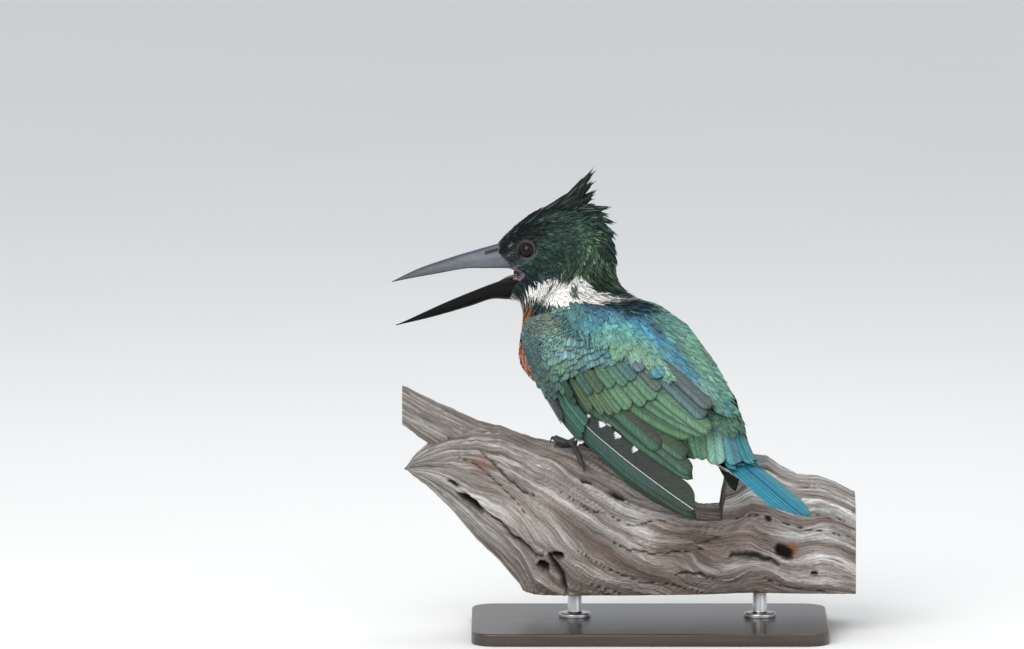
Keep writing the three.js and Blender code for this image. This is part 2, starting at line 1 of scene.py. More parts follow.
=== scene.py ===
"""Life-size still model of a male Amazon kingfisher, perched on driftwood over a plain display stand.

Every shape is worked out with numpy in millimetres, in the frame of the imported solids, and put
into a mesh in metres. The bird is one skin under thousands of single feathers; each feather is a
thin closed vane that lies on the surface of the body, of a wing or of the tail.
"""

import bpy
import numpy as np
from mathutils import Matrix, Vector


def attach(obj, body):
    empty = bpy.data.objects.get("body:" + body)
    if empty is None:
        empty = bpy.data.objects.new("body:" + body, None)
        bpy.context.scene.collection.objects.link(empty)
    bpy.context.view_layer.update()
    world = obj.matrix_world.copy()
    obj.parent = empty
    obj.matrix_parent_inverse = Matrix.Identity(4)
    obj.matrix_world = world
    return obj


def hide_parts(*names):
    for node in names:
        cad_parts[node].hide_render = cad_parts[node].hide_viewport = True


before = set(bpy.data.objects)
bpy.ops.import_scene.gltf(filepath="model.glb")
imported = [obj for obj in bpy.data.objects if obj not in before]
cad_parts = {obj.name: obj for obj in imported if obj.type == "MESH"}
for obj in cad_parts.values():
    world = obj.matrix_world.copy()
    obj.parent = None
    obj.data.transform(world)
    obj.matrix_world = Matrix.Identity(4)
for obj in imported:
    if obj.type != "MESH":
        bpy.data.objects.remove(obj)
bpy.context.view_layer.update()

MM = 0.001
rng = np.random.default_rng(41)

# ------------------------------------------------------------------ camera, floor and lights

FRAME_WIDTH = 0.5734  # width of the view at the model, m
LENS = 400.0
SENSOR = 36.0
LOOK_AT = Vector((-0.0773, 0.0, 0.1735))
LOOK_DOWN = np.radians(7)
LIT_POINT = Vector((-0.02, 0.0, 0.15))
SOFT_BOXES = (  # name, place and size in m, power, colour
    ("soft_box_key", (-0.8, -1.4, 1.35), 1.5, 31.0, (1.0, 0.98, 0.95)),
    ("soft_box_fill", (1.3, -1.2, 0.7), 1.4, 5.0, (0.93, 0.96, 1.0)),
    ("soft_box_top", (0.15, 0.7, 1.5), 0.8, 5.0, (1.0, 1.0, 1.0)),
)
FLOOR_REACH = 16000.0  # mm


def add_camera():
    """A long lens looking along +Y and slightly down, so that the view is FRAME_WIDTH wide at LOOK_AT."""
    data = bpy.data.cameras.new("camera")
    data.lens = LENS
    data.sensor_width = SENSOR
    data.clip_end = 60.0
    camera = bpy.data.objects.new("camera", data)
    ray = Vector((0.0, np.cos(LOOK_DOWN), -np.sin(LOOK_DOWN)))
    camera.location = LOOK_AT - ray * (FRAME_WIDTH * LENS / SENSOR)
    camera.rotation_euler = ray.to_track_quat("-Z", "Y").to_euler()
    bpy.context.scene.collection.objects.link(camera)
    bpy.context.scene.camera = camera


def add_lights():
    """Large soft box above and to the front left, a weaker one to the right, one behind."""
    for name, place, size, power, colour in SOFT_BOXES:
        data = bpy.data.lights.new(name, "AREA")
        data.size = size
        data.energy = power
        data.color = colour
        light = bpy.data.objects.new(name, data)
        light.location = place
        light.rotation_euler = (LIT_POINT - light.location).to_track_quat("-Z", "Y").to_euler()
        bpy.context.scene.collection.objects.link(light)
    world = bpy.data.worlds.new("studio")
    world.use_nodes = True
    background = world.node_tree.nodes["Background"]
    background.inputs["Color"].default_value = (0.88, 0.91, 0.95, 1)
    background.inputs["Strength"].default_value = 0.80
    bpy.context.scene.world = world
    bpy.context.scene.view_settings.view_transform = "Standard"


# ------------------------------------------------------------------ arrays into meshes

def unit(vectors):
    return vectors / np.maximum(np.linalg.norm(vectors, axis=-1, keepdims=True), 1e-9)


def ease(value, low, high):
    """Smooth step from 0 at `low` to 1 at `high`."""
    t = np.clip((value - low) / (high - low), 0.0, 1.0)
    return t * t * (3.0 - 2.0 * t)


def mix(a, b, share):
    """Number between a and b: a where share is 0, b where it is 1."""
    return a + (b - a) * share


def read_off(table, place, column=1):
    """Value of a table's column at a place in its first column."""
    return np.interp(place, table[:, 0], table[:, column])


def bell(a, b, middle_a, middle_b, reach_a, reach_b):
    """1 at a middle over two coordinates, falling to 0 beyond its reach along each."""
    return np.exp(-((a - middle_a) / reach_a) ** 2 - ((b - middle_b) / reach_b) ** 2)


def circle(count):
    """Angles of points evenly round a circle."""
    return np.linspace(0, 2 * np.pi, count, endpoint=False)


def blend(first, second, share):
    """Colour or point between two, with one share for all three of its numbers."""
    first, second = np.asarray(first, float), np.asarray(second, float)
    return first + (second - first) * np.asarray(share, float)[..., None]


def read_out(items, attribute, size=1, kind=np.int32):
    """One attribute of all items of a mesh, `size` numbers for each."""
    values = np.zeros(len(items) * size, kind)
    items.foreach_get(attribute, values)
    return values


def add_mesh(name, points, faces, tint=None, maps=(), sharp=None):
    """Object from points in mm and a list of face arrays (quads or triangles).

    `tint` is a colour for each point or one for all. `maps` holds (name, place for each point) of
    UV maps. `sharp` marks points: an edge between two marked points is a hard one.
    """
    mesh = bpy.data.meshes.new(name)
    points = np.asarray(points, float).reshape(-1, 3)
    mesh.vertices.add(len(points))
    mesh.vertices.foreach_set("co", (points * MM).astype(np.float32).ravel())
    loops = np.concatenate([f.ravel() for f in faces]).astype(np.int32)
    totals = np.concatenate([np.full(len(f), f.shape[1]) for f in faces])
    starts = np.concatenate([[0], np.cumsum(totals)[:-1]]).astype(np.int32)
    mesh.loops.add(len(loops))
    mesh.loops.foreach_set("vertex_index", loops)
    mesh.polygons.add(len(totals))
    mesh.polygons.foreach_set("loop_start", starts)
    mesh.update(calc_edges=True)
    mesh.shade_smooth()
    if tint is not None:
        colour = np.ones((len(points), 4), np.float32)
        colour[:, :3] = np.clip(np.reshape(tint, (-1, 3)), 0.0, 1.0)
        mesh.color_attributes.new("tint", "FLOAT_COLOR", "POINT").data.foreach_set(
            "color", colour.ravel())
    for map_name, place in maps:
        layer = mesh.uv_layers.new(name=map_name)
        layer.data.foreach_set("uv", place.reshape(-1, 2)[loops].astype(np.float32).ravel())
    if sharp is not None:
        ends = read_out(mesh.edges, "vertices", 2)
        flags = sharp[ends.reshape(-1, 2)].all(axis=1)
        mesh.attributes.new("sharp_edge", "BOOLEAN", "EDGE").data.foreach_set("value", flags)
    piece = bpy.data.objects.new(name, mesh)
    bpy.context.scene.collection.objects.link(piece)
    return piece


def add_piece(name, body, look, *nodes, **details):
    """Piece from a (points, faces) body and its look, which is a material and a slot name; the slot name is
    not used.

    `nodes` are the CAD nodes it replaces, `details` the tint, maps and sharp points of add_mesh.
    """
    material, slot = look
    piece = add_mesh(name, *body, **details)
    piece.data.materials.append(material)
    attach(piece, "root")
    if nodes:
        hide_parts(*nodes)


def grid_faces(rows, columns, wrap=False):
    """Quads of a grid of points counted row by row; `wrap` joins the last column to the first."""
    r = np.arange(rows - 1)[:, None]
    c = np.arange(columns if wrap else columns - 1)[None, :]
    after = (c + 1) % columns
    a, b = r * columns + c, r * columns + after
    return np.stack([a, a + columns, b + columns, b], -1).reshape(-1, 4)


def closed_loft(rings):
    """Points and faces of a tube through rings (R, C, 3), each end closed by a fan to its middle."""
    rows, columns, _ = rings.shape
    points = np.vstack([rings.reshape(-1, 3), rings[0].mean(0), rings[-1].mean(0)])
    c = np.arange(columns)
    after = (c + 1) % columns
    start, end, last = rows * columns, rows * columns + 1, (rows - 1) * columns
    fans = np.vstack([
        np.stack([np.full(columns, start), c, after], -1),
        np.stack([np.full(columns, end), last + after, last + c], -1),
    ])
    return points, outward(points, [grid_faces(rows, columns, True), fans])


def outward(points, faces):
    """The faces, all turned round if the body they close has its volume inside out."""
    volume = 0.0
    for f in faces:
        for k in range(1, f.shape[1] - 1):
            a, b, c = points[f[:, 0]], points[f[:, k]], points[f[:, k + 1]]
            volume += np.einsum("ij,ij->", a, np.cross(b, c))
    return faces if volume > 0 else [f[:, ::-1] for f in faces]


def joined(*bodies):
    """Several (points, faces) bodies as one."""
    points, faces, count = [], [], 0
    for body_points, body_faces in bodies:
        points.append(body_points)
        faces += [f + count for f in body_faces]
        count += len(body_points)
    return np.vstack(points), faces


# ------------------------------------------------------------------ noise

def lattice(cells, seed):
    """Repeatable random value between -1 and 1 for each whole-number cell (..., 3)."""
    n = (cells[..., 0] * 374761393 + cells[..., 1] * 668265263 + cells[..., 2] * 2147483647
         + seed * 1274126177) & 0xFFFFFFFF
    n = ((n ^ (n >> 13)) * 1274126177) & 0xFFFFFFFF
    return ((n ^ (n >> 16)) & 0xFFFF) / 32767.5 - 1.0


def noise(places, seed):
    """Smooth value noise between -1 and 1: eased blend of the eight cell corners round a place."""
    cell = np.floor(places).astype(np.int64)
    t = places - cell
    t = t * t * (3.0 - 2.0 * t)
    total = 0.0
    for corner in np.ndindex(2, 2, 2):
        weight = np.prod(np.where(np.array(corner) == 1, t, 1.0 - t), axis=-1)
        total = total + weight * lattice(cell + np.array(corner), seed)
    return total


def cloud(places, seed, octaves):
    """Sum of noises, each twice as fine and half as strong as the one before."""
    return sum(noise(places * 2.0 ** k, seed + k) * 0.5 ** k for k in range(octaves))


def scatter_noise(a, b, size_a, size_b, seed, octaves=2):
    """Noise over two coordinates with its own grain size along each."""
    return cloud(np.stack([a / size_a, b / size_b, np.zeros_like(a + b)], -1), seed, octaves)


# ------------------------------------------------------------------ the body's own surface

# Stations of the head and neck: middle x, y, z; heading and tilt of the section in degrees;
# half width; height above and below the middle; squareness; narrowing of the top.
HEAD_STATIONS = [
    [-86.8, 37.0, 200.3, 12, 86, 6.5, 16.0, 15.5, 2.0, 0.1],
    [-82.6, 36.0, 202.6, 12, 82, 10.0, 18.6, 18.5, 2.1, 0.15],
    [-77.6, 34.5, 205.5, 12, 78, 13.0, 22.1, 22.0, 2.2, 0.2],
    [-70.3, 32.5, 208.2, 13, 71, 15.5, 26.4, 26.0, 2.2, 0.25],
    [-62.7, 30.5, 209.5, 14, 63, 17.0, 30.5, 29.5, 2.2, 0.25],
    [-54.9, 28.5, 207.3, 18, 55, 19.0, 33.5, 31.0, 2.2, 0.2],
    [-49.3, 27.0, 200.4, 24, 50, 22.0, 34.5, 32.0, 2.2, 0.12],
    [-45.0, 24.5, 190.0, 31, 48, 28.5, 34.0, 36.0, 2.2, 0.05],
]
# Stations of the trunk: distance forward of its middle and up its back, then as above.
TRUNK_STATIONS = [
    [50, -1, 33.0, 27.0, 43.0, 2.2, 0], [35, 0, 36.0, 24.5, 43.5, 2.3, 0],
    [15, 0, 37.0, 33.5, 38.5, 2.4, 0], [-10, 0, 36.5, 34.0, 33.0, 2.4, 0],
    [-35, 3, 32.0, 31.0, 30.0, 2.3, 0], [-55, 10, 24.0, 24.0, 24.0, 2.2, 0],
    [-70, 16, 17.0, 17.0, 15.0, 2.1, 0], [-82, 18, 11.0, 9.0, 8.0, 2.0, 0],
]
TRUNK_MIDDLE = np.array([-12.0, -4.0, 147.0])
TRUNK_YAW, TRUNK_PITCH = 40.0, 39.0
MOUTH_CORNER = np.array([-70.6, 32.5, 199.1])
HEAD_HEADING = 12.0


def section_axes(heading, tilt):
    """Left and upward directions of a section that faces `heading` and leans back to `tilt`."""
    h, t = np.radians(heading), np.radians(tilt)
    left = np.stack([-np.sin(h), -np.cos(h), np.zeros_like(h)], -1)
    up = np.stack([np.cos(t) * np.cos(h), -np.cos(t) * np.sin(h), np.sin(t)], -1)
    return left, up


TRUNK_LEFT, TRUNK_UP = section_axes(np.float64(TRUNK_YAW), np.float64(90 - TRUNK_PITCH))
TRUNK_FORWARD = np.cross(TRUNK_LEFT, TRUNK_UP)
HEAD_LEFT, HEAD_UP = section_axes(np.float64(HEAD_HEADING), np.float64(90))
HEAD_FORWARD = np.cross(HEAD_LEFT, HEAD_UP)


def in_frame(origin, axes, distances):
    """origin plus each distance (numbers or arrays) along its own axis."""
    total = origin
    for axis, distance in zip(axes, distances):
        total = total + np.asarray(distance, float)[..., None] * axis
    return total


def trunk_point(forward, left, up):
    return in_frame(TRUNK_MIDDLE, (TRUNK_FORWARD, TRUNK_LEFT, TRUNK_UP), (forward, left, up))


def head_point(forward, left, up):
    return in_frame(MOUTH_CORNER, (HEAD_FORWARD, HEAD_LEFT, HEAD_UP), (forward, left, up))


def to_head(points):
    """Forward, left and up distances of points in the head's frame."""
    offset = points - MOUTH_CORNER
    return offset @ HEAD_FORWARD, offset @ HEAD_LEFT, offset @ HEAD_UP


BODY_STATIONS = np.array(HEAD_STATIONS + [
    [*trunk_point(forward, 0, up), TRUNK_YAW, 90 - TRUNK_PITCH, *section]
    for forward, up, *section in TRUNK_STATIONS
])


def smooth_rows(table, s):
    """Row of a table at fractional row number s: Catmull-Rom cubic, with straight ends."""
    table = np.asarray(table, float)
    padded = np.vstack([2 * table[0] - table[1], table, 2 * table[-1] - table[-2]])
    i = np.clip(np.floor(s).astype(int), 0, len(table) - 2)
    t = (s - i)[..., None]
    p0, p1, p2, p3 = (padded[i + k] for k in range(4))
    return p1 + 0.5 * t * (p2 - p0 + t * (2 * p0 - 5 * p1 + 4 * p2 - p3
                                          + t * (3 * p1 - p0 - 3 * p2 + p3)))


def power(value, exponent):
    return np.sign(value) * np.abs(value) ** exponent


def body_surface(s, phi, lift=0.0):
    """Point of the feathered body at station s and angle phi: 0 is the left, 90 the back.

    The section is a superellipse: across goes with cos(phi) and up with sin(phi), each to the
    power 2 / squareness, times the half sizes plus `lift`.
    """
    row = smooth_rows(BODY_STATIONS, np.asarray(s, float))
    angle = np.radians(phi)
    left, up = section_axes(row[..., 3], row[..., 4])
    half, above, below, square, taper = (row[..., k] for k in range(5, 10))
    high = power(np.sin(angle), 2 / square)
    wide = power(np.cos(angle), 2 / square) * (1 - taper * np.sin(angle))
    tall = np.where(high >= 0, above, below)
    return (row[..., :3] + left * ((half + lift) * wide)[..., None]
            + up * ((tall + lift) * high)[..., None])


# Edge where the feathers of the face meet the bill: how far forward it lies at each height.
FACE_EDGE_UP = [-45, -15.6, -14.9, -7.5, -5.0, -2.6, -0.5, 1.2, 2.4, 3.6, 5.0, 8.2, 11.2, 15.8, 45]
FACE_EDGE_FORWARD = [18, 18, 7.8, 4.0, 2.2, -0.8, -3.2, -3.6, -3.0, 1.5, 5.6, 8.8, 13.8, 15.7, 15.7]


def face_edge(up):
    return np.interp(up, FACE_EDGE_UP, FACE_EDGE_FORWARD)


# ------------------------------------------------------------------ the wings' surfaces

# Wing sheets: distance back from the trunk's middle, half width, half height.
WING_SHEETS = {
    "left": np.array([
        [-60, 36, 26], [-40, 40.5, 32], [-25, 42, 37], [0, 43, 41.5], [25, 41, 41.5],
        [50, 36.4, 41.5], [75, 30.7, 41.5], [105, 24, 41.5]]),
    "right": np.array([
        [-60, 34, 22], [-40, 39, 28.5], [-25, 41, 36], [0, 41, 43], [25, 36.5, 42.5],
        [50, 28.5, 41.5], [75, 20.5, 41.5], [105, 14, 41.5]]),
}
WING_MIDDLE = -4.0
WING_SQUARENESS = 2.4
# Wing outline: distance back, angle of the lower and upper edge, 0 being the side.
WING_OUTLINE = np.array([
    [-51, -5, 6], [-48.5, -12, 14], [-44.5, -18, 27], [-40, -23, 41], [-33, -31, 56],
    [-21, -46, 64], [-5, -54, 67], [15, -57, 68], [35, -52, 67], [50, -43, 65], [62, -37, 61],
    [70, -32, 56], [75, -29, 49], [78, -27, 22], [86, -21, 9], [94, -15, 1], [101, -10, -6],
])
RIGHT_WING_BEHIND = (15.0, 60.0)  # between these distances back the far wing is drawn up
RIGHT_WING_LEVEL, RIGHT_WING_LIFT, RIGHT_WING_NARROWEST, RIGHT_WING_SHORTER = -4.0, -20.0, 3.0, 0.9
RIGHT_WING_FLATTEST = 0.34  # feathers are squeezed no further than this


def to_right_wing(back, angle):
    """Place on the far wing of a place on the near one: the same share of its width there."""
    low = read_off(WING_OUTLINE, back)
    high = read_off(WING_OUTLINE, back, 2)
    raised = ease(back, *RIGHT_WING_BEHIND)
    right_low = mix(low, RIGHT_WING_LEVEL, raised)
    right_high = np.maximum(high + RIGHT_WING_LIFT * raised, right_low + RIGHT_WING_NARROWEST)
    scale = np.maximum((right_high - right_low) / (high - low), RIGHT_WING_FLATTEST)
    return np.where(back > 0, back * RIGHT_WING_SHORTER, back), right_low + (angle - low) * scale


def wing_surface(side):
    """Surface of a folded wing over distance back and angle (0 the side, 90 the back)."""
    table = WING_SHEETS[side]

    def surface(back, angle, lift=0.0):
        if side == "right":
            back, angle = to_right_wing(np.asarray(back, float), np.asarray(angle, float))
        theta = np.radians(angle)
        half = read_off(table, back) + lift
        tall = read_off(table, back, 2) + lift
        out = half * power(np.cos(theta), 2 / WING_SQUARENESS)
        up = WING_MIDDLE + tall * power(np.sin(theta), 2 / WING_SQUARENESS)
        return trunk_point(-np.asarray(back, float), out if side == "left" else -out, up)

    return surface


def wing_cover(points):
    """How far inside a folded wing's outline trunk points lie, in degrees; below 0 is outside."""
    offset = points - TRUNK_MIDDLE
    back = -(offset @ TRUNK_FORWARD)
    left, up = offset @ TRUNK_LEFT, offset @ TRUNK_UP - WING_MIDDLE
    half = read_off(WING_SHEETS["left"], back)
    tall = read_off(WING_SHEETS["left"], back, 2)
    stretch = WING_SQUARENESS / 2
    angle = np.degrees(np.arctan2(power(up / tall, stretch), np.abs(left / half) ** stretch))
    low = np.interp(back, WING_OUTLINE[:, 0], WING_OUTLINE[:, 1], left=90, right=90)
    high = np.interp(back, WING_OUTLINE[:, 0], WING_OUTLINE[:, 2], left=-90, right=-90)
    raised = ease(back, *RIGHT_WING_BEHIND) * (left < 0)
    low = mix(low, RIGHT_WING_LEVEL, raised)
    return np.minimum(angle - low, high + RIGHT_WING_LIFT * raised - angle), back, angle


# ------------------------------------------------------------------ the tail's surface

TAIL_BASE = np.array([41.5, -48.4, 109.5])
TAIL_YAW, TAIL_PITCH, TAIL_CROWN = np.radians(43.0), np.radians(28.0), 1.5
TAIL_BACK = np.array([
    np.cos(TAIL_PITCH) * np.cos(TAIL_YAW), -np.cos(TAIL_PITCH) * np.sin(TAIL_YAW),
    -np.sin(TAIL_PITCH)])
TAIL_LEFT = np.array([-np.sin(TAIL_YAW), -np.cos(TAIL_YAW), 0.0])
TAIL_UP = np.cross(TAIL_LEFT, TAIL_BACK)
TAIL_AXES = (TAIL_BACK, -TAIL_LEFT, TAIL_UP)
TAIL_LENGTH = 70.0


def tail_surface(back, across, lift=0.0):
    """Upper face of the tail: a sheet that is highest along its middle line."""
    crown = TAIL_CROWN * (1 - (across / 14.0) ** 2)
    return in_frame(TAIL_BASE, TAIL_AXES, (back, across, crown + lift))


# ------------------------------------------------------------------ feathers as closed vanes

def vane_faces(count, rows, columns, flip):
    """Quads of `count` closed vanes: an upper and a lower grid that share their border."""
    upper = np.arange(rows * columns).reshape(rows, columns)
    lower = upper.copy()
    lower[1:-1, 1:-1] = rows * columns + np.arange((rows - 2) * (columns - 2)).reshape(
        rows - 2, columns - 2)

    def quads(index):
        return np.stack([index[:-1, :-1], index[1:, :-1], index[1:, 1:], index[:-1, 1:]],
                        -1).reshape(-1, 4)

    one = np.vstack([quads(upper), quads(lower)[:, ::-1]])
    if flip:
        one = one[:, ::-1]
    size = rows * columns + (rows - 2) * (columns - 2)
    return (one[None] + (np.arange(count) * size)[:, None, None]).reshape(-1, 4)


def vane_piece(name, look, upper, lower, tint, local, roots, flip=False):
    """Piece of many vanes from their upper and lower points (N, R, C, 3).

    `local` holds the distances from the shaft and along it, for the barbs. `roots` holds each
    feather's place, 0 to 1, on the unwrapped surface that it grows from: its OFBake patch is a
    small square there.
    """
    count, rows, columns, _ = upper.shape
    inner = (rows - 2) * (columns - 2)

    def with_inside(values, below):
        return np.concatenate([values.reshape(count, rows * columns, -1),
                               below[:, 1:-1, 1:-1].reshape(count, inner, -1)], axis=1)

    t, u = np.meshgrid(np.linspace(0, 1, rows), np.linspace(0, 1, columns), indexing="ij")
    patch = roots[:, None, None, :] + BAKE_PATCH * (np.stack([u, t], -1)[None] - 0.5)
    border = np.pad(np.zeros((rows - 2, columns - 2), bool), 1, constant_values=True)
    sharp = np.concatenate([border.ravel(), np.zeros(inner, bool)])
    body = with_inside(upper, lower), [vane_faces(count, rows, columns, flip)]
    add_piece(name, body, look, tint=with_inside(tint, tint), sharp=np.tile(sharp, count),
              maps=[("OFBake", with_inside(patch, patch)), ("vane", with_inside(local, local))])


BAKE_PATCH = 0.003  # side of a feather's square on the unwrap
BAKE_MARGIN = 0.02  # border of the unwrap that stays free
SHAFT_RIDGE = 0.12  # mm that the shaft of a long feather stands up


def unwrap(p, q, p_span, q_span):
    """Place 0 to 1 of a root on the unwrap of its surface: its two parameters, to scale."""
    share = [(value - low) / (high - low) for value, (low, high) in ((q, q_span), (p, p_span))]
    return np.clip(BAKE_MARGIN + (1 - 2 * BAKE_MARGIN) * np.stack(share, -1), 0, 1)


def slopes(surface, p, q, step_p, step_q):
    """Change of the surface point for a unit step of each parameter, by small differences."""
    along = (surface(p + step_p, q) - surface(p - step_p, q)) / (2 * step_p)
    around = (surface(p, q + step_q) - surface(p, q - step_q)) / (2 * step_q)
    return along, around


def laid_onto(along, around, direction):
    """Changes of the two parameters that go a unit of a direction over the surface."""
    aa, bb, ab = (along ** 2).sum(-1), (around ** 2).sum(-1), (along * around).sum(-1)
    da, db = (direction * along).sum(-1), (direction * around).sum(-1)
    det = aa * bb - ab ** 2
    return (bb * da - ab * db) / det, (aa * db - ab * da) / det


def turned(surface, p, q, step_p, step_q):
    """True where along x around points into the body, so that faces need turning round."""
    along, around = slopes(surface, p, q, step_p, step_q)
    out = surface(p, q, 1.0) - surface(p, q, 0.0)
    return np.einsum("ij,ij->i", np.cross(along, around), out).mean() < 0


VANE_SHAPES = {
    # half width along the vane as (t, share) rows, how far the tip's corners fall back
    "round": ([[0, 0.25], [0.3, 0.8], [0.6, 1.0], [0.82, 0.9], [0.95, 0.62], [1, 0.4]], 0.13),
    "oblong": ([[0, 0.3], [0.25, 0.85], [0.6, 1.0], [0.88, 0.97], [0.97, 0.8], [1, 0.66]], 0.07),
    "pointed": ([[0, 0.4], [0.25, 0.9], [0.5, 1.0], [0.75, 0.75], [0.9, 0.42], [1, 0.08]], 0.1),
    "hair": ([[0, 0.8], [0.3, 1.0], [0.6, 0.8], [0.85, 0.45], [1, 0.06]], 0.0),
}


def small_feathers(name, look, bed, roots, base, heading, length, width, lift, marks,
                   shape="pointed", rows=6, columns=3, ragged=0.0, roll=0.0, camber=0.12,
                   thickness=0.16, sunk=0.5, sweep=0.0, tints_skin=True):
    """Feathers that lie on a surface, each from its root in its own direction.

    roots (N, 2) are surface parameters. heading (N,) is the angle in degrees from the first
    parameter's direction towards the second's. A point of a vane lies `along` and `across` its
    shaft in mm; one unit of each parameter is as long as the surface's slope at the root, which
    turns those distances into parameters. Height above the surface rises from -sunk at the root
    to `lift` at the tip, falls to the sides by `camber` of the distance across, and goes up or
    down across the vane by `roll`. `sweep` bends the shaft sideways by that share of its length.
    """
    surface, steps, spans = bed
    count = len(roots)
    if tints_skin:
        note_roots(surface, roots, base)

    def each(value):
        return np.broadcast_to(np.asarray(value, float), (count,))[:, None, None]

    profile, rounding = VANE_SHAPES[shape]
    t = np.linspace(0, 1, rows)[None, :, None]
    u = np.linspace(-1, 1, columns)[None, None, :]
    half = each(width) / 2 * np.interp(t, *np.array(profile).T) * (1 + 0 * u)
    torn = ragged * rng.standard_normal((count, 1, columns)) * t ** 4
    along = each(length) * (t - rounding * u ** 2 * t ** 3 + torn)
    across = u * half + each(sweep) * each(length) * t ** 2
    p, q = roots[:, 0], roots[:, 1]
    size_along, size_around = (each(np.linalg.norm(v, axis=-1)) for v in slopes(surface, p, q, *steps))
    turn = np.radians(each(heading))
    pp = each(p) + (along * np.cos(turn) - across * np.sin(turn)) / size_along
    qq = each(q) + (along * np.sin(turn) + across * np.cos(turn)) / size_around
    height = (-sunk + (each(lift) + sunk) * t ** 1.3
              - camber * np.abs(u) ** 2 * half * 2 + each(roll) * u * half)
    upper = surface(pp, qq, height)
    lower = surface(pp, qq, height - thickness * (1 - 0.5 * t))
    local = np.stack([u * half, along], -1)
    tint = vane_paint(base, **marks)(t + 0 * half, u + 0 * half)
    vane_piece(name, look, upper, lower, tint, local, unwrap(p, q, *spans),
               turned(surface, p, q, *steps))


def quadratic(start, bend, end, t):
    """Curve from start to end, drawn towards `bend` between them."""
    return (1 - t) ** 2 * start + 2 * t * (1 - t) * bend + t ** 2 * end


def long_feathers(name, look, surface, spans, shafts, widths, height, paint, rows, tip, columns=9,
                  steps=(0.5, 0.5), camber=0.05, thickness=0.22, roll=0.0, notch=0.0):
    """Flight feathers along bent shafts on a surface.

    shafts (N, 3, 2) holds root, middle and tip as surface parameters; the shaft is the quadratic
    curve through them. widths (N, 2) are the vane's widths on the two sides of the shaft. At
    each shaft point the surface's slopes turn a distance across into parameters. Near the tip
    both sides draw in on an ellipse over the last share `tip` of the length. height (N, 2) is
    the shaft's height above the surface at its root and tip.
    """
    t = (np.linspace(0, 1, rows) ** 0.9)[None, :, None]
    u = np.linspace(-1, 1, columns)[None, None, :]
    root, middle, end = (shafts[:, k][:, None, :] for k in range(3))
    path = quadratic(root, 2 * middle - 0.5 * (root + end), end, t)
    p, q = path[..., 0], path[..., 1]
    along, around = slopes(surface, p, q, *steps)
    course = np.gradient(path, axis=1)
    tangent = unit(course[..., :1] * along + course[..., 1:] * around)
    side = unit(np.cross(unit(np.cross(along, around)), tangent))
    step_p, step_q = laid_onto(along, around, side)
    drawn = np.sqrt(np.clip(1 - (np.clip(t - (1 - tip), 0, None) / tip) ** 2, 0.0004, 1))
    swell = 0.45 + 0.55 * ease(t, 0.0, 0.35)
    half = np.where(u < 0, widths[:, 0][:, None, None], widths[:, 1][:, None, None])
    half = half * drawn * swell * (1 - notch * ease(t, 0.5, 0.9) * (u < 0))
    across = u * half
    pp = p[..., None] + across * step_p[..., None]
    qq = q[..., None] + across * step_q[..., None]
    level = height[:, 0][:, None, None] * (1 - t) + height[:, 1][:, None, None] * t
    level = level + roll * across - camber * np.abs(u) * half
    upper = surface(pp, qq, level + SHAFT_RIDGE * (np.abs(u) < 0.01))
    lower = surface(pp, qq, level - thickness)
    run = np.linalg.norm(np.gradient(surface(p, q), axis=1), axis=-1).cumsum(axis=1)
    run = run[..., None] + 0 * across
    vane_piece(name, look, upper, lower, paint(t + 0 * across, u + 0 * across, across, run),
               np.stack([across, run], -1), unwrap(p[:, 0], q[:, 0], *spans),
               turned(surface, p[:, rows // 2], q[:, rows // 2], *steps))


def free_vanes(paths, across, normals, widths, thickness, cup):
    """Upper and lower points, and distances from the shaft, of narrow vanes along free curves.

    paths and the unit vectors across and normals are (N, R, 3), widths is (N, R). A point lies
    `u` half widths to the side of the path and sinks by `cup` of the square of that.
    """
    u = np.array([-1.0, 0.0, 1.0])
    half = widths[..., None] / 2
    upper = (paths[:, :, None, :] + across[:, :, None, :] * (half * u)[..., None]
             + normals[:, :, None, :] * (-cup * half * u ** 2)[..., None])
    run = np.linalg.norm(np.gradient(paths, axis=1), axis=-1).cumsum(axis=1)
    local = np.stack([half * u, run[..., None] + 0 * u], -1)
    return upper, upper - normals[:, :, None, :] * thickness, local


# ------------------------------------------------------------------ where feathers grow

SCATTER_LINES = 140  # lines that a surface is measured on, each way


def scatter(bed, gap, row_gap, jitter=0.35, spans=None):
    """Roots in rows across a surface, `gap` mm apart in a row and `row_gap` mm between rows.

    Rows are spaced by the longest way between them; where they run closer together, roots are
    left out in proportion. Each root is then moved by up to `jitter` of a gap. A bed is a
    surface, the steps its slopes are measured with, and the spans of its two parameters.
    """
    surface, steps, bed_spans = bed
    p_line, q_line = (np.linspace(*span, SCATTER_LINES) for span in spans or bed_spans)
    along, around = slopes(surface, *np.meshgrid(p_line, q_line, indexing="ij"), *steps)
    size_along, size_around = np.linalg.norm(along, axis=-1), np.linalg.norm(around, axis=-1)
    widest = size_along.max(axis=1)
    reach = np.concatenate([[0], np.cumsum((widest[1:] + widest[:-1]) / 2 * np.diff(p_line))])
    roots = []
    for k in range(int(reach[-1] / row_gap)):
        p = np.interp((k + 0.5) * row_gap, reach, p_line)
        i = min(int(np.searchsorted(p_line, p)), SCATTER_LINES - 1)
        across = size_around[i]
        run = np.concatenate([[0], np.cumsum((across[1:] + across[:-1]) / 2 * np.diff(q_line))])
        count = int(run[-1] / gap)
        number = np.arange(count)
        q = np.interp((number + 0.25 + 0.5 * (k % 2)) * run[-1] / count, run, q_line)
        share = np.interp(q, q_line, size_along[i]) / widest[i]
        kept = (number * 0.618 + k * 0.382) % 1.0 < share
        shift = rng.uniform(-jitter, jitter, (2, count))
        place = np.stack([p + shift[0] * row_gap / np.interp(q, q_line, size_along[i]),
                          q + shift[1] * gap / np.interp(q, q_line, across)], -1)
        roots.append(place[kept])
    return np.vstack(roots)


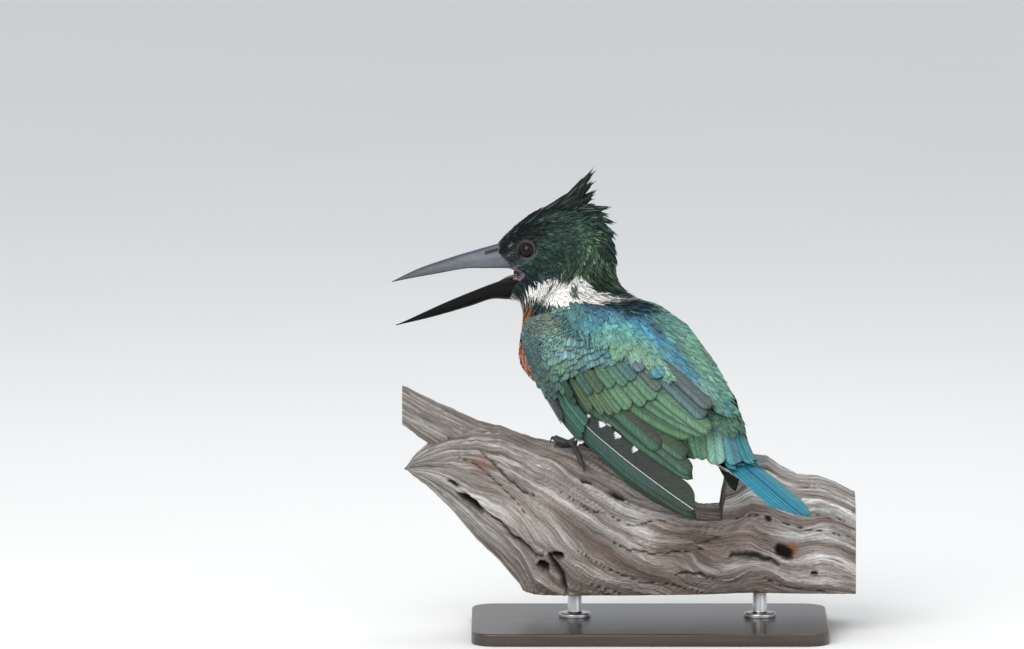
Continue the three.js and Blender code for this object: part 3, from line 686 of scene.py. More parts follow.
def heading_of(surface, roots, steps, direction):
    """Angle, in each root's surface parameters, of a direction (N, 3) laid onto the surface."""
    along, around = slopes(surface, roots[:, 0], roots[:, 1], *steps)
    step_p, step_q = laid_onto(along, around, direction)
    return np.degrees(np.arctan2(step_q * np.linalg.norm(around, axis=-1),
                                 step_p * np.linalg.norm(along, axis=-1)))


def patches(table, a, b):
    """Colour over two coordinates: mean of named patches, each weighted by a bell round its middle.

    A row holds the middle (a, b), the reach along each, and the colour.
    """
    table = np.array(table)
    weight = bell(np.asarray(a, float)[..., None], np.asarray(b, float)[..., None], *table[:, :4].T) + 1e-7
    return (weight[..., None] * table[:, 4:]).sum(-2) / weight.sum(-1)[..., None]


def vary(colours, light, hue):
    """Colours with a chance change of brightness, and of balance between green and blue."""
    count = len(colours)
    shade = np.exp(rng.normal(0, light, (count, 1)))
    tilt = rng.normal(0, hue, (count, 1)) * np.array([0.3, 0.5, -1.0])
    return np.clip(colours * shade * np.exp(tilt), 0.002, 0.95)


def vane_paint(colours, root, upper=None, edge=None, edge_from=0.72, tip=None, tip_from=0.86):
    """Paint of a set of feathers: dark at the root, with its own edge, tip and upper side. Darkening at the
    root, edge and tip is partly the feathers' own colour and partly painted shade where neighbouring
    feathers overlap them.
    """
    def paint(t, u, *_):
        shade = mix(root, 1.0, ease(t, 0.0, 0.55))[..., None]
        body = colours[:, None, None, :]
        result = body * shade
        if upper is not None:
            result = blend(result, upper[:, None, None, :] * shade, ease(u, -0.15, 0.35))
        if edge is not None:
            result = blend(result, body * edge, ease(np.abs(u), edge_from, 1.0))
        if tip is not None:
            result = blend(result, body * tip, ease(t, tip_from, 1.0))
        return result
    return paint


SKIN_ROOTS = []  # (points, colours) of feather roots, for the tint of the skin below them


def note_roots(surface, roots, colours, lift=0.0):
    SKIN_ROOTS.append((surface(roots[:, 0], roots[:, 1], lift), colours))


# ------------------------------------------------------------------ colours of the plumage

WHITE = np.array([0.84, 0.83, 0.80])
RUFOUS = np.array([0.47, 0.135, 0.035])

# Head, over station and side angle (90 the crown, 0 the side, -90 the throat).
HEAD_PATCHES = [
    [1.2, 60, 1.2, 30, 0.008, 0.01, 0.011], [2.6, 62, 1.0, 22, 0.008, 0.014, 0.016],
    [4.2, 78, 1.2, 22, 0.012, 0.027, 0.021], [3.8, 58, 0.6, 14, 0.034, 0.062, 0.048],
    [3.4, 41, 0.9, 6, 0.01, 0.016, 0.016], [5.0, 45, 0.9, 14, 0.03, 0.062, 0.05],
    [4.6, 25, 0.8, 14, 0.034, 0.068, 0.054], [5.6, 18, 0.9, 14, 0.026, 0.047, 0.04],
    [6.4, 60, 0.9, 26, 0.046, 0.078, 0.05], [7.6, 88, 0.9, 30, 0.085, 0.13, 0.074],
    [1.6, 12, 0.9, 10, 0.045, 0.05, 0.05], [4.6, -4, 0.9, 9, 0.03, 0.066, 0.056],
    [4.1, -26, 0.8, 9, 0.012, 0.030, 0.034], [2.6, -2, 0.6, 4, 0.10, 0.13, 0.125],
    # Painted shade: the grey chin row at -66 stands for the white chin lying in shadow.
    [2.0, -66, 2.0, 15, 0.24, 0.24, 0.24], [2.4, -38, 1.6, 9, 0.014, 0.022, 0.028],
    [1.75, 27, 0.11, 2.6, 0.42, 0.42, 0.4],
    [9.5, 60, 0.5, 60, 0.022, 0.06, 0.085], [8.4, 86, 0.35, 12, 0.02, 0.045, 0.06],
]
COLLAR_ANGLES = [-90, -65, -58, -45, -30, -20, 0, 20, 40, 50, 60, 70, 77, 82, 90]
COLLAR_FRONT = [2.6, 3.2, 5.0, 4.7, 4.9, 5.1, 6.05, 6.8, 7.35, 7.45, 7.5, 7.65, 7.85, 8.2, 8.75]
COLLAR_BACK = [5.9, 5.5, 5.25, 5.2, 5.7, 6.1, 6.9, 7.6, 8.4, 8.6, 8.75, 8.9, 8.95, 9.0, 9.05]
COLLAR_TWIST = 30.0  # on the right, where the neck is stretched, the collar sits this much lower
# Painted glint: grey-green highlights painted on single feathers of the crown and crest, where light
# catches them.
PAINTED_GLINT = np.array([0.11, 0.15, 0.13])  # grey-green light on single feathers of the crown
# Painted shade: the throat is white in life; from the gape down it is painted dark and mottled where it
# lies in shadow.
PAINTED_THROAT_SHADE = np.array([0.022, 0.018, 0.02])  # mottled dark stripe from the gape down the throat


def side_angle(phi):
    """Angle up from the side, the same on the left and on the right: 90 the back."""
    return 90.0 - np.abs((phi - 90.0 + 180.0) % 360.0 - 180.0)


def head_colour(s, phi):
    """Base colour and whiteness of the head and neck, with painted shade down the throat."""
    angle = side_angle(phi)
    colour = patches(HEAD_PATCHES, s, angle)
    wobble = 0.10 * scatter_noise(s * 6, angle / 6, 1.0, 1.0, 5)
    lower = angle + COLLAR_TWIST * ease(phi, 91, 100) * (1 - ease(phi, 150, 200))
    front = np.interp(lower, COLLAR_ANGLES, COLLAR_FRONT)
    back = np.interp(lower, COLLAR_ANGLES, COLLAR_BACK)
    white = ease(s + wobble, front - 0.07, front + 0.07) * (1 - ease(s + wobble, back - 0.05, back + 0.05))
    flecks = bell(s, angle, 7.95, 58, 0.2, 4) + bell(s, angle, 6.7, 8, 0.2, 3.5)
    white = white * (1 - 0.9 * np.clip(flecks * 1.6, 0, 1))
    # Painted shade: a mottled stripe down the throat is painted near black, and its white is taken away
    # there.
    throat_shade = bell(s, angle, 3.6, -49, 1.5, 10) + 0.4 * scatter_noise(s * 6, angle / 5, 1.0, 1.0, 9)
    throat_shade = ease(throat_shade, 0.42, 0.62)
    return blend(colour, PAINTED_THROAT_SHADE, throat_shade), white * (1 - 0.92 * throat_shade)


# Mantle and scapulars, over distance back and angle round the trunk (90 the middle of the back).
MANTLE_PATCHES = [
    [-36, 74, 6, 16, 0.03, 0.072, 0.10], [-24, 84, 9, 12, 0.04, 0.11, 0.17],
    [-38, 42, 6, 12, 0.085, 0.20, 0.21],
    [-27, 58, 5, 12, 0.07, 0.21, 0.32], [-12, 80, 9, 6, 0.10, 0.33, 0.50],
    [2, 84, 12, 5, 0.102, 0.3, 0.422], [20, 80, 12, 6, 0.116, 0.345, 0.462],
    [-20, 48, 7, 9, 0.12, 0.34, 0.37], [-12, 64, 9, 9, 0.14, 0.41, 0.38],
    [-4, 50, 12, 10, 0.23, 0.41, 0.29], [14, 62, 14, 8, 0.25, 0.42, 0.29],
    [-12, 42, 9, 7, 0.17, 0.36, 0.27], [8, 74, 12, 6, 0.19, 0.43, 0.38],
    [32, 74, 9, 6, 0.20, 0.40, 0.31], [44, 80, 8, 7, 0.28, 0.47, 0.34],
    [10, 106, 30, 12, 0.21, 0.43, 0.32], [-16, 100, 10, 12, 0.10, 0.25, 0.26],
    [52, 88, 9, 14, 0.117, 0.288, 0.24], [70, 78, 12, 20, 0.104, 0.192, 0.14],
]
BREAST_EDGE = 9.4  # station where the rufous breast gives way to white


def mantle_colour(back, angle):
    """Blue-green of the mantle, streaked along its feathers, with one dark spot."""
    colour = patches(MANTLE_PATCHES, back, np.where(angle > 118, 180 - angle, angle))
    streak = scatter_noise(back + angle * 0.8, angle - back * 0.5, 2.5, 9.0, 11)
    return colour * (np.exp(0.36 * streak) * (1 - 0.85 * bell(back, angle, -9, 88, 4.5, 2.6)))[..., None]


def belly_colour(s, phi):
    """Rufous breast, then white with green streaks on the flanks, and pale under the tail."""
    angle = side_angle(phi)
    edge = BREAST_EDGE + 0.2 * scatter_noise(angle, s, 9, 1, 3)
    rufous = blend(RUFOUS, RUFOUS * 0.55, ease(-angle, 55, 85))
    rufous = rufous * np.exp(0.25 * scatter_noise(angle, s, 5, 0.4, 8))[..., None]
    colour = blend(rufous, WHITE, ease(s, edge - 0.15, edge + 0.15))
    streaks = (scatter_noise(angle, s, 5, 0.5, 17) > 0.28) * ease(angle, -62, -50) * ease(s, 9.2, 9.8)
    colour = blend(colour, [0.06, 0.13, 0.10], streaks * 0.85)
    shoulder = ease(angle + 4 * scatter_noise(angle, s, 4, 0.6, 23), -8, 1) * (1 - ease(s, 9.3, 9.8))
    return blend(colour, [0.035, 0.085, 0.10], shoulder)


# ------------------------------------------------------------------ head, neck and crest

BODY_STEPS = (0.04, 1.5)
HEAD_BED = (body_surface, BODY_STEPS, ((0.45, 9.9), (-180, 180)))
BODY_BED = (body_surface, BODY_STEPS, ((6.2, 15.0), (-180, 180)))
EYE_FORWARD, EYE_UP, EYE_ACROSS, EYE_RADIUS = -5.0, 14.0, 11.3, 5.2
EYE_OPENING = 4.25  # half width of the opening between the lids
EYE_BARE = 5.6  # bare lids reach this far from the middle of the eye


def head_heading(roots):
    """Flow of the feathers of the head: straight back, rising over the crown, down the neck."""
    s, angle = roots[:, 0], side_angle(roots[:, 1])
    rise = 0.45 * ease(angle, 20, 70) - 0.30 * ease(-angle, -10, 25)
    back = in_frame(np.zeros(3), (HEAD_FORWARD, HEAD_UP), (-np.ones(len(s)), rise))
    free = heading_of(body_surface, roots, BODY_STEPS, back)
    return free * (1 - ease(s, 5.0, 7.6))


def head_feathers(look, pale_look):
    """Fine pointed feathers over the face, crown, cheeks, throat and neck, tailward, 1 mm apart."""
    roots = scatter(HEAD_BED, 1.08, 1.26)
    angle = side_angle(roots[:, 1])
    forward, _, up = to_head(body_surface(roots[:, 0], roots[:, 1]))
    eye_distance = np.hypot(forward - EYE_FORWARD, up - EYE_UP)
    behind = np.where(angle > 30, 9.9, np.interp(angle, COLLAR_ANGLES, COLLAR_BACK) + 0.25)
    kept = (forward < face_edge(up) - 0.4) & (roots[:, 0] < behind) & (eye_distance > EYE_BARE)
    roots, angle, forward, up, eye_distance = (v[kept] for v in (roots, angle, forward, up, eye_distance))
    s, phi = roots[:, 0], roots[:, 1]
    colour, white = head_colour(s, phi)
    crown = ease(angle, 30, 45) * ease(s, 0.8, 1.6) * (1 - ease(s, 6, 8))
    # Painted glint on about one crown feather in six.
    colour = blend(colour, PAINTED_GLINT, 0.75 * (rng.uniform(0, 1, len(s)) < 0.17) * crown)
    streak = scatter_noise(s, angle, 0.9, 3.4, 27)
    colour = colour * np.exp(mix(0.75, 1.05, ease(angle, 35, 60)) * streak)[:, None]
    base = blend(vary(colour, 0.34, 0.08), vary(WHITE + np.zeros((len(s), 3)), 0.04, 0.0), white)
    length = np.interp(s, [0.5, 2, 4, 6, 9], [2.4, 3.8, 6.4, 8.4, 8.5]) * rng.uniform(0.8, 1.2, len(s))
    ahead = (forward > EYE_FORWARD) & (np.abs(up - EYE_UP) < EYE_RADIUS)
    length = np.where(ahead, np.minimum(length, eye_distance - EYE_OPENING - 0.8), length)
    length = np.maximum(length * mix(0.6, 1.0, ease(eye_distance, 5.5, 9.0)), 0.9)
    width = np.interp(s, [0.5, 3, 6, 9], [0.75, 0.95, 1.25, 1.9]) * rng.uniform(0.8, 1.2, len(s))
    lift = np.interp(s, [0.5, 3, 6], [0.25, 0.4, 0.55]) + 0.25 * ease(angle, 45, 80) * ease(s, 1.5, 4)
    lift = lift * mix(1.0, rng.uniform(0.75, 1.65, len(s)) ** 3, ease(angle, 40, 70))
    heading = head_heading(roots) + rng.normal(0, 9, len(s))
    dark_marks = {"root": 0.6, "edge": 0.74, "tip": 0.62}
    white_marks = {"root": 0.6, "edge": 0.97, "tip": 1.04}
    for name, chosen, own_look, marks, shape in (
        ("face_feathers", (white <= 0.5) & (s < 4.6), look, dark_marks, "hair"),
        ("nape_feathers", (white <= 0.5) & (s >= 4.6), look, dark_marks, "hair"),
        ("collar_feathers", white > 0.5, pale_look, white_marks, "pointed"),
    ):
        small_feathers(
            name, own_look, HEAD_BED, roots[chosen], base[chosen], heading[chosen], length[chosen],
            width[chosen], lift[chosen], marks, shape, thickness=0.12, sunk=0.35, camber=0.1,
            roll=rng.normal(0, 0.12, chosen.sum()), sweep=rng.normal(0, 0.06, chosen.sum()))


# Locks of the crest: station and angle of the root on the crown; tip forward, left and up.
CREST_LOCKS = np.array([
    [1.9, 90, -9, 0, 34], [2.3, 80, -15, 3, 37], [2.3, 100, -15, -3, 37], [2.8, 90, -22, 0, 40.5],
    [3.2, 84, -28, 2, 44.5], [3.2, 96, -28.5, -2, 44.5], [3.6, 88, -33.5, 1, 50], [4.0, 91, -40.6, 0, 60.0],
    [3.9, 86, -38, 1, 55], [3.9, 95, -39, -1, 57], [4.1, 90, -41.2, 0, 53.2], [4.0, 82, -37, 2, 49],
    [4.3, 92, -42.6, 0, 47.8], [4.2, 76, -38, 4, 43], [4.3, 104, -39, -4, 43], [4.6, 84, -42, 2, 39.5],
    [4.8, 90, -51.0, 0, 38.0], [4.8, 97, -48, -1, 37.5], [4.8, 78, -46, 4, 36.5], [5.0, 88, -49.5, 1, 33.2],
    [5.0, 72, -46, 6, 32], [5.2, 90, -52.2, 0, 28.6], [5.2, 78, -49, 4, 27.5], [5.2, 104, -50, -3, 28],
    [5.5, 86, -51, 2, 24.6], [5.6, 90, -54.0, 1, 21.6], [5.6, 76, -49, 7, 21], [5.8, 102, -52.5, -1, 19],
    [6.0, 84, -51, 5, 16], [6.2, 96, -53, 2, 14.5], [6.4, 90, -54.6, 3, 10.4], [6.6, 78, -50.5, 10, 9],
    [6.9, 96, -54.2, 3, 5.6],
])
CREST_VANES = 50  # vanes in each lock
CREST_ROWS = 8
CREST_SECTION = (0.12, 0.15)  # thickness of a vane in mm, and how far its sides sink
CREST_REACH = (0.45, 1.0)  # length of a vane, as a part of its lock's
CREST_BULGE = (0.05, 0.0, 0.07, 0.10)  # how far vanes bow out, from the forehead to the nape
CREST_SPREAD = (0.30, 9.0)  # scatter of the roots in a lock, in stations and degrees


def crest_feathers(look):
    """Bundles of narrow vanes that rise from the crown and lean back, one bundle for each lock.

    A vane runs on the quadratic curve from a root on the crown near its lock's own, over a bend
    pushed out from the head, to a tip on the line towards its lock's tip. Outer vanes are shorter.
    """
    locks = np.repeat(CREST_LOCKS, CREST_VANES, axis=0)
    count = len(locks)
    around, out = rng.uniform(0, 2 * np.pi, count), np.sqrt(rng.uniform(0, 1, count))
    side, high = out * np.cos(around), out * np.sin(around)
    reach = rng.uniform(*CREST_REACH, count) ** 0.55 * (1 - 0.12 * out)
    reach[::CREST_VANES] = 1.0
    side[::CREST_VANES] = 0.0
    high[::CREST_VANES] = 0.0
    root_s = locks[:, 0] - CREST_SPREAD[0] * high * 1.6 + rng.normal(0, 0.06, count)
    root_phi = locks[:, 1] - CREST_SPREAD[1] * side * 1.3
    root = body_surface(root_s, root_phi, -0.8)
    lock_root = body_surface(locks[:, 0], locks[:, 1], 0.0)
    lock_tip = head_point(locks[:, 2], locks[:, 3], locks[:, 4])
    crown = unit(body_surface(locks[:, 0], locks[:, 1], 1.0) - lock_root)
    course = unit(lock_tip - lock_root)
    lateral = unit(np.cross(crown, course))
    fan = (1.9 * (1.25 - reach))[:, None]
    tip = (lock_root + (lock_tip - lock_root) * reach[:, None] - lateral * side[:, None] * fan
           + np.cross(course, lateral) * high[:, None] * fan * 0.8)
    stray = rng.uniform(0, 1, count) ** 5 * np.interp(locks[:, 2], [-40, -32, -10], [0, 2.4, 2.0])
    tip = tip + crown * stray[:, None]
    size = np.linalg.norm(tip - root, axis=-1, keepdims=True)
    bulge = np.interp(locks[:, 0], [2, 3.5, 4.8, 6], CREST_BULGE)[:, None]
    middle = 0.5 * (root + tip) + crown * size * bulge
    t = np.linspace(0, 1, CREST_ROWS)[None, :, None]
    paths = quadratic(root[:, None], middle[:, None], tip[:, None], t)
    paths = paths + rng.normal(0, 0.5, (count, 1, 3)) * t ** 2
    run = unit(np.gradient(paths, axis=1))
    leftward = 0.5 + 0.5 * np.tanh(locks[:, 3] / 4 + 2 * side)
    toward = np.where(rng.uniform(0, 1, count) < leftward, 1.0, -1.0)
    facing = unit(HEAD_LEFT * toward[:, None, None] + HEAD_UP * 0.5 + rng.normal(0, 0.25, (count, 1, 3)))
    across = unit(np.cross(facing, run))
    normals = unit(np.cross(run, across))
    profile = np.interp(t[0, :, 0], [0, 0.3, 0.65, 0.88, 1], [0.8, 1, 0.9, 0.6, 0.1])
    widths = rng.uniform(0.6, 1.35, (count, 1)) * profile
    shade = np.interp(locks[:, 2], [-50, -36, -14], [1.6, 0.7, 0.45])
    base = vary(np.array([0.014, 0.026, 0.021]) * shade[:, None], 0.5, 0.10)
    # Painted glint: about one crest vane in five gets the grey-green highlight along its middle.
    pale = (rng.uniform(0, 1, count) < 0.2)[:, None, None, None]
    tt = t[..., None] + np.zeros((count, CREST_ROWS, 3, 1))
    tint = base[:, None, None, :] * (0.75 + 0.5 * tt)
    tint = np.where(pale & (tt > 0.3) & (tt < 0.9), blend(tint, PAINTED_GLINT, 0.6 + 0 * tt[..., 0]), tint)
    upper, lower, local = free_vanes(paths, across, normals, widths, *CREST_SECTION)
    vane_piece("crest_feathers", look, upper, lower, tint, local, unwrap(root_s, root_phi, *HEAD_BED[2]))


# ------------------------------------------------------------------ back, breast and belly

BACK_TOP = np.array([  # distance back, height of the back above the trunk's middle line
    [-50, 26], [-35, 24.8], [-15, 33.5], [10, 34.2], [35, 34.4], [55, 34.2], [70, 33], [82, 27]])
WING_STEPS = (1.0, 1.5)
CAPE_SINKS = 4.2  # the mantle's front edge goes down to the nape by this much


def cape_surface(back, angle, lift=0.0):
    """Surface of the mantle: the wings' sheets at the sides, sinking to the back between them."""
    left, right = WING_SHEETS["left"], WING_SHEETS["right"]
    angle = np.asarray(angle, float)
    turn = np.abs(angle - 90.0)
    half = mix(read_off(right, back), read_off(left, back), ease(-angle, -110, -70))
    edge = mix(read_off(left, back, 2), read_off(right, back, 2), ease(angle, 90, 120))
    tall = mix(edge + 0.8, read_off(BACK_TOP, back) - WING_MIDDLE + 0.5, ease(-turn, -36, -4))
    lift = lift - CAPE_SINKS * (1 - ease(back, -40, -18)) * ease(-turn, -50, -26)
    theta = np.radians(angle)
    out = (half + 0.8 + lift) * power(np.cos(theta), 2 / WING_SQUARENESS)
    up = WING_MIDDLE + (tall + lift) * power(np.sin(theta), 2 / WING_SQUARENESS)
    return trunk_point(-np.asarray(back, float), out, up)


# Lower edge of the scapulars: distance back, angle.
CAPE_EDGE = np.array([
    [-42, 38], [-36, 30], [-30, 26], [-20, 31], [-5, 36], [10, 47], [20, 51], [30, 62], [44, 70],
    [56, 76], [70, 82]])
CAPE_FRONT = ([20, 45, 60, 75, 90], [-46, -41, -38, -34, -33])  # angle, distance back
CAPE_BED = (cape_surface, WING_STEPS, ((-45, 58.0), (18, 162)))


def cape_heading(angle):
    """Feathers run back, and outwards over the wings, more so towards the lower edge."""
    turn = 90.0 - angle
    return -np.sign(turn) * np.interp(np.abs(turn), [0, 12, 40, 65], [0, 14, 24, 22])


def cape_roots(gap, jitter, below, behind):
    """Roots of the mantle, so far above its lower edge and behind its front, with their places."""
    roots = scatter(CAPE_BED, gap, 3.6, jitter)
    back, side = roots[:, 0], 90 - np.abs(90 - roots[:, 1])
    above = side - read_off(CAPE_EDGE, back)
    return roots, back, roots[:, 1], above, (above > below) & (back > np.interp(side, *CAPE_FRONT) + behind)


def cape_feathers(look):
    """Mantle and scapulars: soft overlapping vanes, with loose wisps of barbs over them."""
    roots, back, angle, above, kept = cape_roots(3.3, 0.35, 7, 0)
    length = np.interp(back, [-45, -20, 20, 60], [8, 13, 17, 17]) * rng.uniform(0.85, 1.15, len(back))
    base = vary(mantle_colour(back, angle), 0.10, 0.07)
    roots, back, angle, above, length, base = (v[kept] for v in (roots, back, angle, above, length, base))
    # Painted shade: the tips are painted darker, much darker on the scapulars nearest the lower edge, as a
    # shadow line where they overlap the coverts.
    rim = np.where(above < 13, 0.34, 0.85)[:, None, None, None]
    small_feathers(
        "mantle_feathers", look, CAPE_BED, roots, base,
        cape_heading(angle) + rng.normal(0, 3.5, len(roots)), length,
        np.interp(back, [-45, 0, 60], [4.6, 7.0, 7.6]), np.interp(back, [-45, -20, 60], [0.2, 0.5, 0.5]),
        {"root": 0.6, "edge": 0.88, "tip": rim}, "round", columns=5, ragged=0.03,
        roll=0.04 * np.sign(90 - angle))
    wisps, back, angle, above, kept = cape_roots(1.7, 0.5, 5.5, 1)
    wisps, back, angle = wisps[kept], back[kept], angle[kept]
    count = len(wisps)
    small_feathers(
        "mantle_wisps", look, CAPE_BED, wisps, vary(mantle_colour(back, angle), 0.08, 0.03) * 1.04,
        cape_heading(angle) + rng.normal(0, 5, count), rng.uniform(10, 17, count),
        rng.uniform(0.55, 1.1, count), rng.uniform(0.4, 0.62, count), {"root": 0.95, "tip": 0.96},
        "hair", sunk=0.1, thickness=0.08, sweep=rng.normal(0, 0.07, count), tints_skin=False)


def body_feathers(look, pale_look):
    """Breast, belly, flanks, rump and under the tail: rounded vanes that run tailward."""
    roots = scatter(BODY_BED, 2.3, 2.7)
    s, angle = roots[:, 0], side_angle(roots[:, 1])
    covered, back, _ = wing_cover(body_surface(s, roots[:, 1]))
    rump = (angle > 18) & (s > 12.2) & (s < 14.35)
    collar_back = np.interp(angle, COLLAR_ANGLES, COLLAR_BACK)
    front = (s > collar_back - 0.1) & (angle < 40) & (covered < 9)
    kept = rump & (covered < 22) | front
    roots, s, angle, back = (v[kept] for v in (roots, s, angle, back))
    topside = ease(angle, 8, 24)
    upper = patches(MANTLE_PATCHES, back, np.where(angle > 0, angle, 0))
    base = blend(belly_colour(s, roots[:, 1]), upper, topside)
    base = blend(base, [0.42, 0.44, 0.40], ease(s, 13.0, 13.8) * (1 - topside))
    bluish = (1 - topside) * ease(angle, -26, -14) * (1 - ease(s, 6.9, 7.5))
    base = blend(base, [0.05, 0.11, 0.13], bluish)
    pale = base[:, 0] > 0.45
    base = np.where(pale[:, None], vary(base, 0.04, 0.0), vary(base, 0.14, 0.05))
    length = np.interp(s, [6.2, 8, 10, 14, 15], [6.5, 8, 9.5, 9, 7]) * rng.uniform(0.85, 1.15, len(s))
    width = np.interp(s, [6.2, 8, 12, 15], [2.2, 3.2, 4.4, 3.6])
    for name, chosen, own_look in (
        ("breast_feathers", ~pale & (s < 10.6), look),
        ("rump_feathers", ~pale & (s >= 10.6), look),
        ("belly_feathers", pale, pale_look),
    ):
        count = chosen.sum()
        small_feathers(
            name, own_look, BODY_BED, roots[chosen], base[chosen], rng.normal(0, 7, count),
            length[chosen], width[chosen], rng.uniform(0.4, 0.8, count),
            {"root": 0.7, "edge": 0.9, "tip": 0.92}, ragged=0.05, thickness=0.14,
            sweep=rng.normal(0, 0.05, count))


# ------------------------------------------------------------------ wings

# Feathers of the folded wing, one row each: root, middle and tip of the shaft as distance back
# and angle, width below and above the shaft, colour of the lower and of the upper web.
PRIMARIES = [
    [-20, -42, 38, -42.5, 88, -19, 2.5, 4.5, 0.053, 0.103, 0.079, 0.038, 0.051, 0.04],
    [-18, -39, 38, -39.5, 93, -16, 3.0, 5.0, 0.057, 0.118, 0.094, 0.038, 0.051, 0.04],
    [-15, -36, 40, -35, 97, -13.5, 3.6, 5.5, 0.057, 0.126, 0.097, 0.038, 0.051, 0.04],
    [-14, -32, 42, -30.5, 100, -11.5, 4.6, 6.5, 0.057, 0.13, 0.104, 0.038, 0.051, 0.04],
    [-12, -26.5, 44, -25, 99, -9.5, 6.2, 7.0, 0.061, 0.134, 0.108, 0.038, 0.051, 0.041],
]
SHOWN_PRIMARY = [-2, -20.5, 48, -14.6, 96, -6.5, 8.2, 9.5, 0.062, 0.115, 0.1, 0.043, 0.054, 0.052]
PRIMARY_TIP = np.array([0.052, 0.07, 0.048])  # olive that the primaries darken to
SPOTS = [(16.5, 1.3), (26.0, 2.2), (37.0, 2.2), (49.7, 1.8)]  # distance back, half length
SECONDARIES = [
    [-5, -1, 42, 1, 86, 7.5, 3.6, 6.0, 0.065, 0.135, 0.094, 0.053, 0.09, 0.065],
    [0, 4, 45, 8, 84, 10.0, 4.6, 6.0, 0.076, 0.143, 0.104, 0.061, 0.107, 0.076],
    [0, 7, 42, 12, 76, 16.0, 4.2, 6.0, 0.087, 0.156, 0.094, 0.068, 0.107, 0.068],
    [5, 7, 35, 9, 61.5, 9.5, 6.0, 5.0, 0.076, 0.164, 0.101, 0.076, 0.082, 0.061],
    [10, 17, 45, 21.5, 69.5, 34.0, 4.2, 5.0, 0.091, 0.189, 0.108, 0.076, 0.148, 0.086],
    [15, 26, 48, 30.5, 74.5, 43.0, 3.4, 4.5, 0.099, 0.205, 0.122, 0.084, 0.164, 0.094],
    [18, 33, 52, 37.5, 76, 47.5, 3.0, 4.5, 0.114, 0.23, 0.13, 0.091, 0.172, 0.101],
    [22, 42, 50, 43.5, 75.5, 49.0, 4.4, 5.0, 0.122, 0.254, 0.144, 0.144, 0.262, 0.137],
    [20, 52.5, 45, 54.5, 67, 54.5, 4.2, 4.5, 0.107, 0.186, 0.203, 0.127, 0.186, 0.167],
    [15, 61, 40, 64.5, 64, 66, 4.2, 5.2, 0.123, 0.172, 0.171, 0.131, 0.172, 0.171],
]
GREATER_COVERTS = [
    [-8, 0, 6, -2, 17, -4.0, 2.0, 2.2, 0.09, 0.146, 0.077, 0.117, 0.181, 0.086],
    [-4, 4, 10, 2, 24.5, -0.4, 2.1, 2.3, 0.108, 0.172, 0.095, 0.135, 0.206, 0.103],
    [0, 8, 14, 5.5, 29, 3.2, 2.2, 2.4, 0.117, 0.189, 0.103, 0.144, 0.232, 0.12],
    [4, 12, 18, 9.5, 31.5, 7.9, 2.4, 2.7, 0.117, 0.206, 0.12, 0.162, 0.267, 0.146],
    [8, 19.5, 22, 17, 34.5, 15.5, 3.3, 3.4, 0.117, 0.232, 0.146, 0.171, 0.318, 0.198],
    [12, 29, 27, 26.5, 39.5, 25.5, 3.1, 3.1, 0.117, 0.232, 0.146, 0.162, 0.31, 0.198],
    [12, 38, 28, 36.5, 41, 35.2, 3.3, 3.2, 0.108, 0.224, 0.146, 0.153, 0.301, 0.198],
    [12, 46, 26, 45, 39, 43.8, 2.8, 2.6, 0.099, 0.146, 0.129, 0.126, 0.172, 0.155],
]
MEDIAN_COVERTS = [
    [-16, -4, -6, -5.5, 3, -6.3, 2.0, 2.0, 0.038, 0.085, 0.065, 0.046, 0.102, 0.074],
    [-8, 6, 2, 4.5, 11.5, 3.2, 2.8, 2.8, 0.068, 0.136, 0.102, 0.084, 0.162, 0.121],
    [-4, 12, 6, 10.5, 15.5, 9.4, 3.0, 3.0, 0.084, 0.119, 0.079, 0.099, 0.145, 0.102],
    [1, 20, 10, 19.3, 19, 18.8, 3.2, 3.1, 0.091, 0.187, 0.121, 0.122, 0.246, 0.158],
    [5, 28, 14, 27.2, 24, 26.8, 2.7, 2.7, 0.091, 0.196, 0.14, 0.122, 0.246, 0.177],
    [6, 36.5, 15, 35.5, 25, 34.8, 2.9, 2.9, 0.084, 0.187, 0.158, 0.106, 0.238, 0.195],
    [4, 47, 14, 46, 24, 44.5, 2.9, 2.8, 0.12, 0.18, 0.25, 0.15, 0.21, 0.28],
    [16, 58, 25, 55.5, 33.5, 53.8, 4.2, 3.2, 0.10, 0.27, 0.33, 0.15, 0.42, 0.48],
]
PRIMARY_COVERTS = [
    [-12, -36, 2, -42, 15, -42, 2.6, 3.0, 0.07, 0.138, 0.104, 0.07, 0.129, 0.104],
    [-11, -31, 4, -36.5, 18, -36.5, 2.9, 3.0, 0.078, 0.163, 0.132, 0.07, 0.146, 0.12],
    [-10, -25, 5, -29.5, 18.8, -29.5, 2.9, 3.0, 0.078, 0.181, 0.144, 0.078, 0.163, 0.132],
    [-9, -18, 6, -22, 18.9, -22.3, 2.9, 3.1, 0.078, 0.189, 0.152, 0.078, 0.172, 0.14],
    [-8, -11, 6, -13.7, 18.7, -14.2, 3.6, 3.2, 0.078, 0.189, 0.152, 0.078, 0.172, 0.144],
    [-14, -7, -4, -8.6, 6.5, -9.4, 2.2, 2.2, 0.035, 0.077, 0.048, 0.047, 0.099, 0.06],
]
LEADING_EDGE = [
    [-34, -30, -20, -46, -2, -54, 3.2, 3.8, 0.135, 0.261, 0.225, 0.144, 0.27, 0.234],
    [-30, -28, -18, -40, 0, -47, 3.0, 3.4, 0.108, 0.207, 0.18, 0.126, 0.234, 0.207],
    [-24, -26, -12, -35, 4, -37, 3.0, 3.0, 0.077, 0.081, 0.086, 0.086, 0.09, 0.095],
    [-20, -23, -10, -29, 2.8, -30.5, 2.8, 3.0, 0.072, 0.077, 0.081, 0.081, 0.09, 0.09],
]
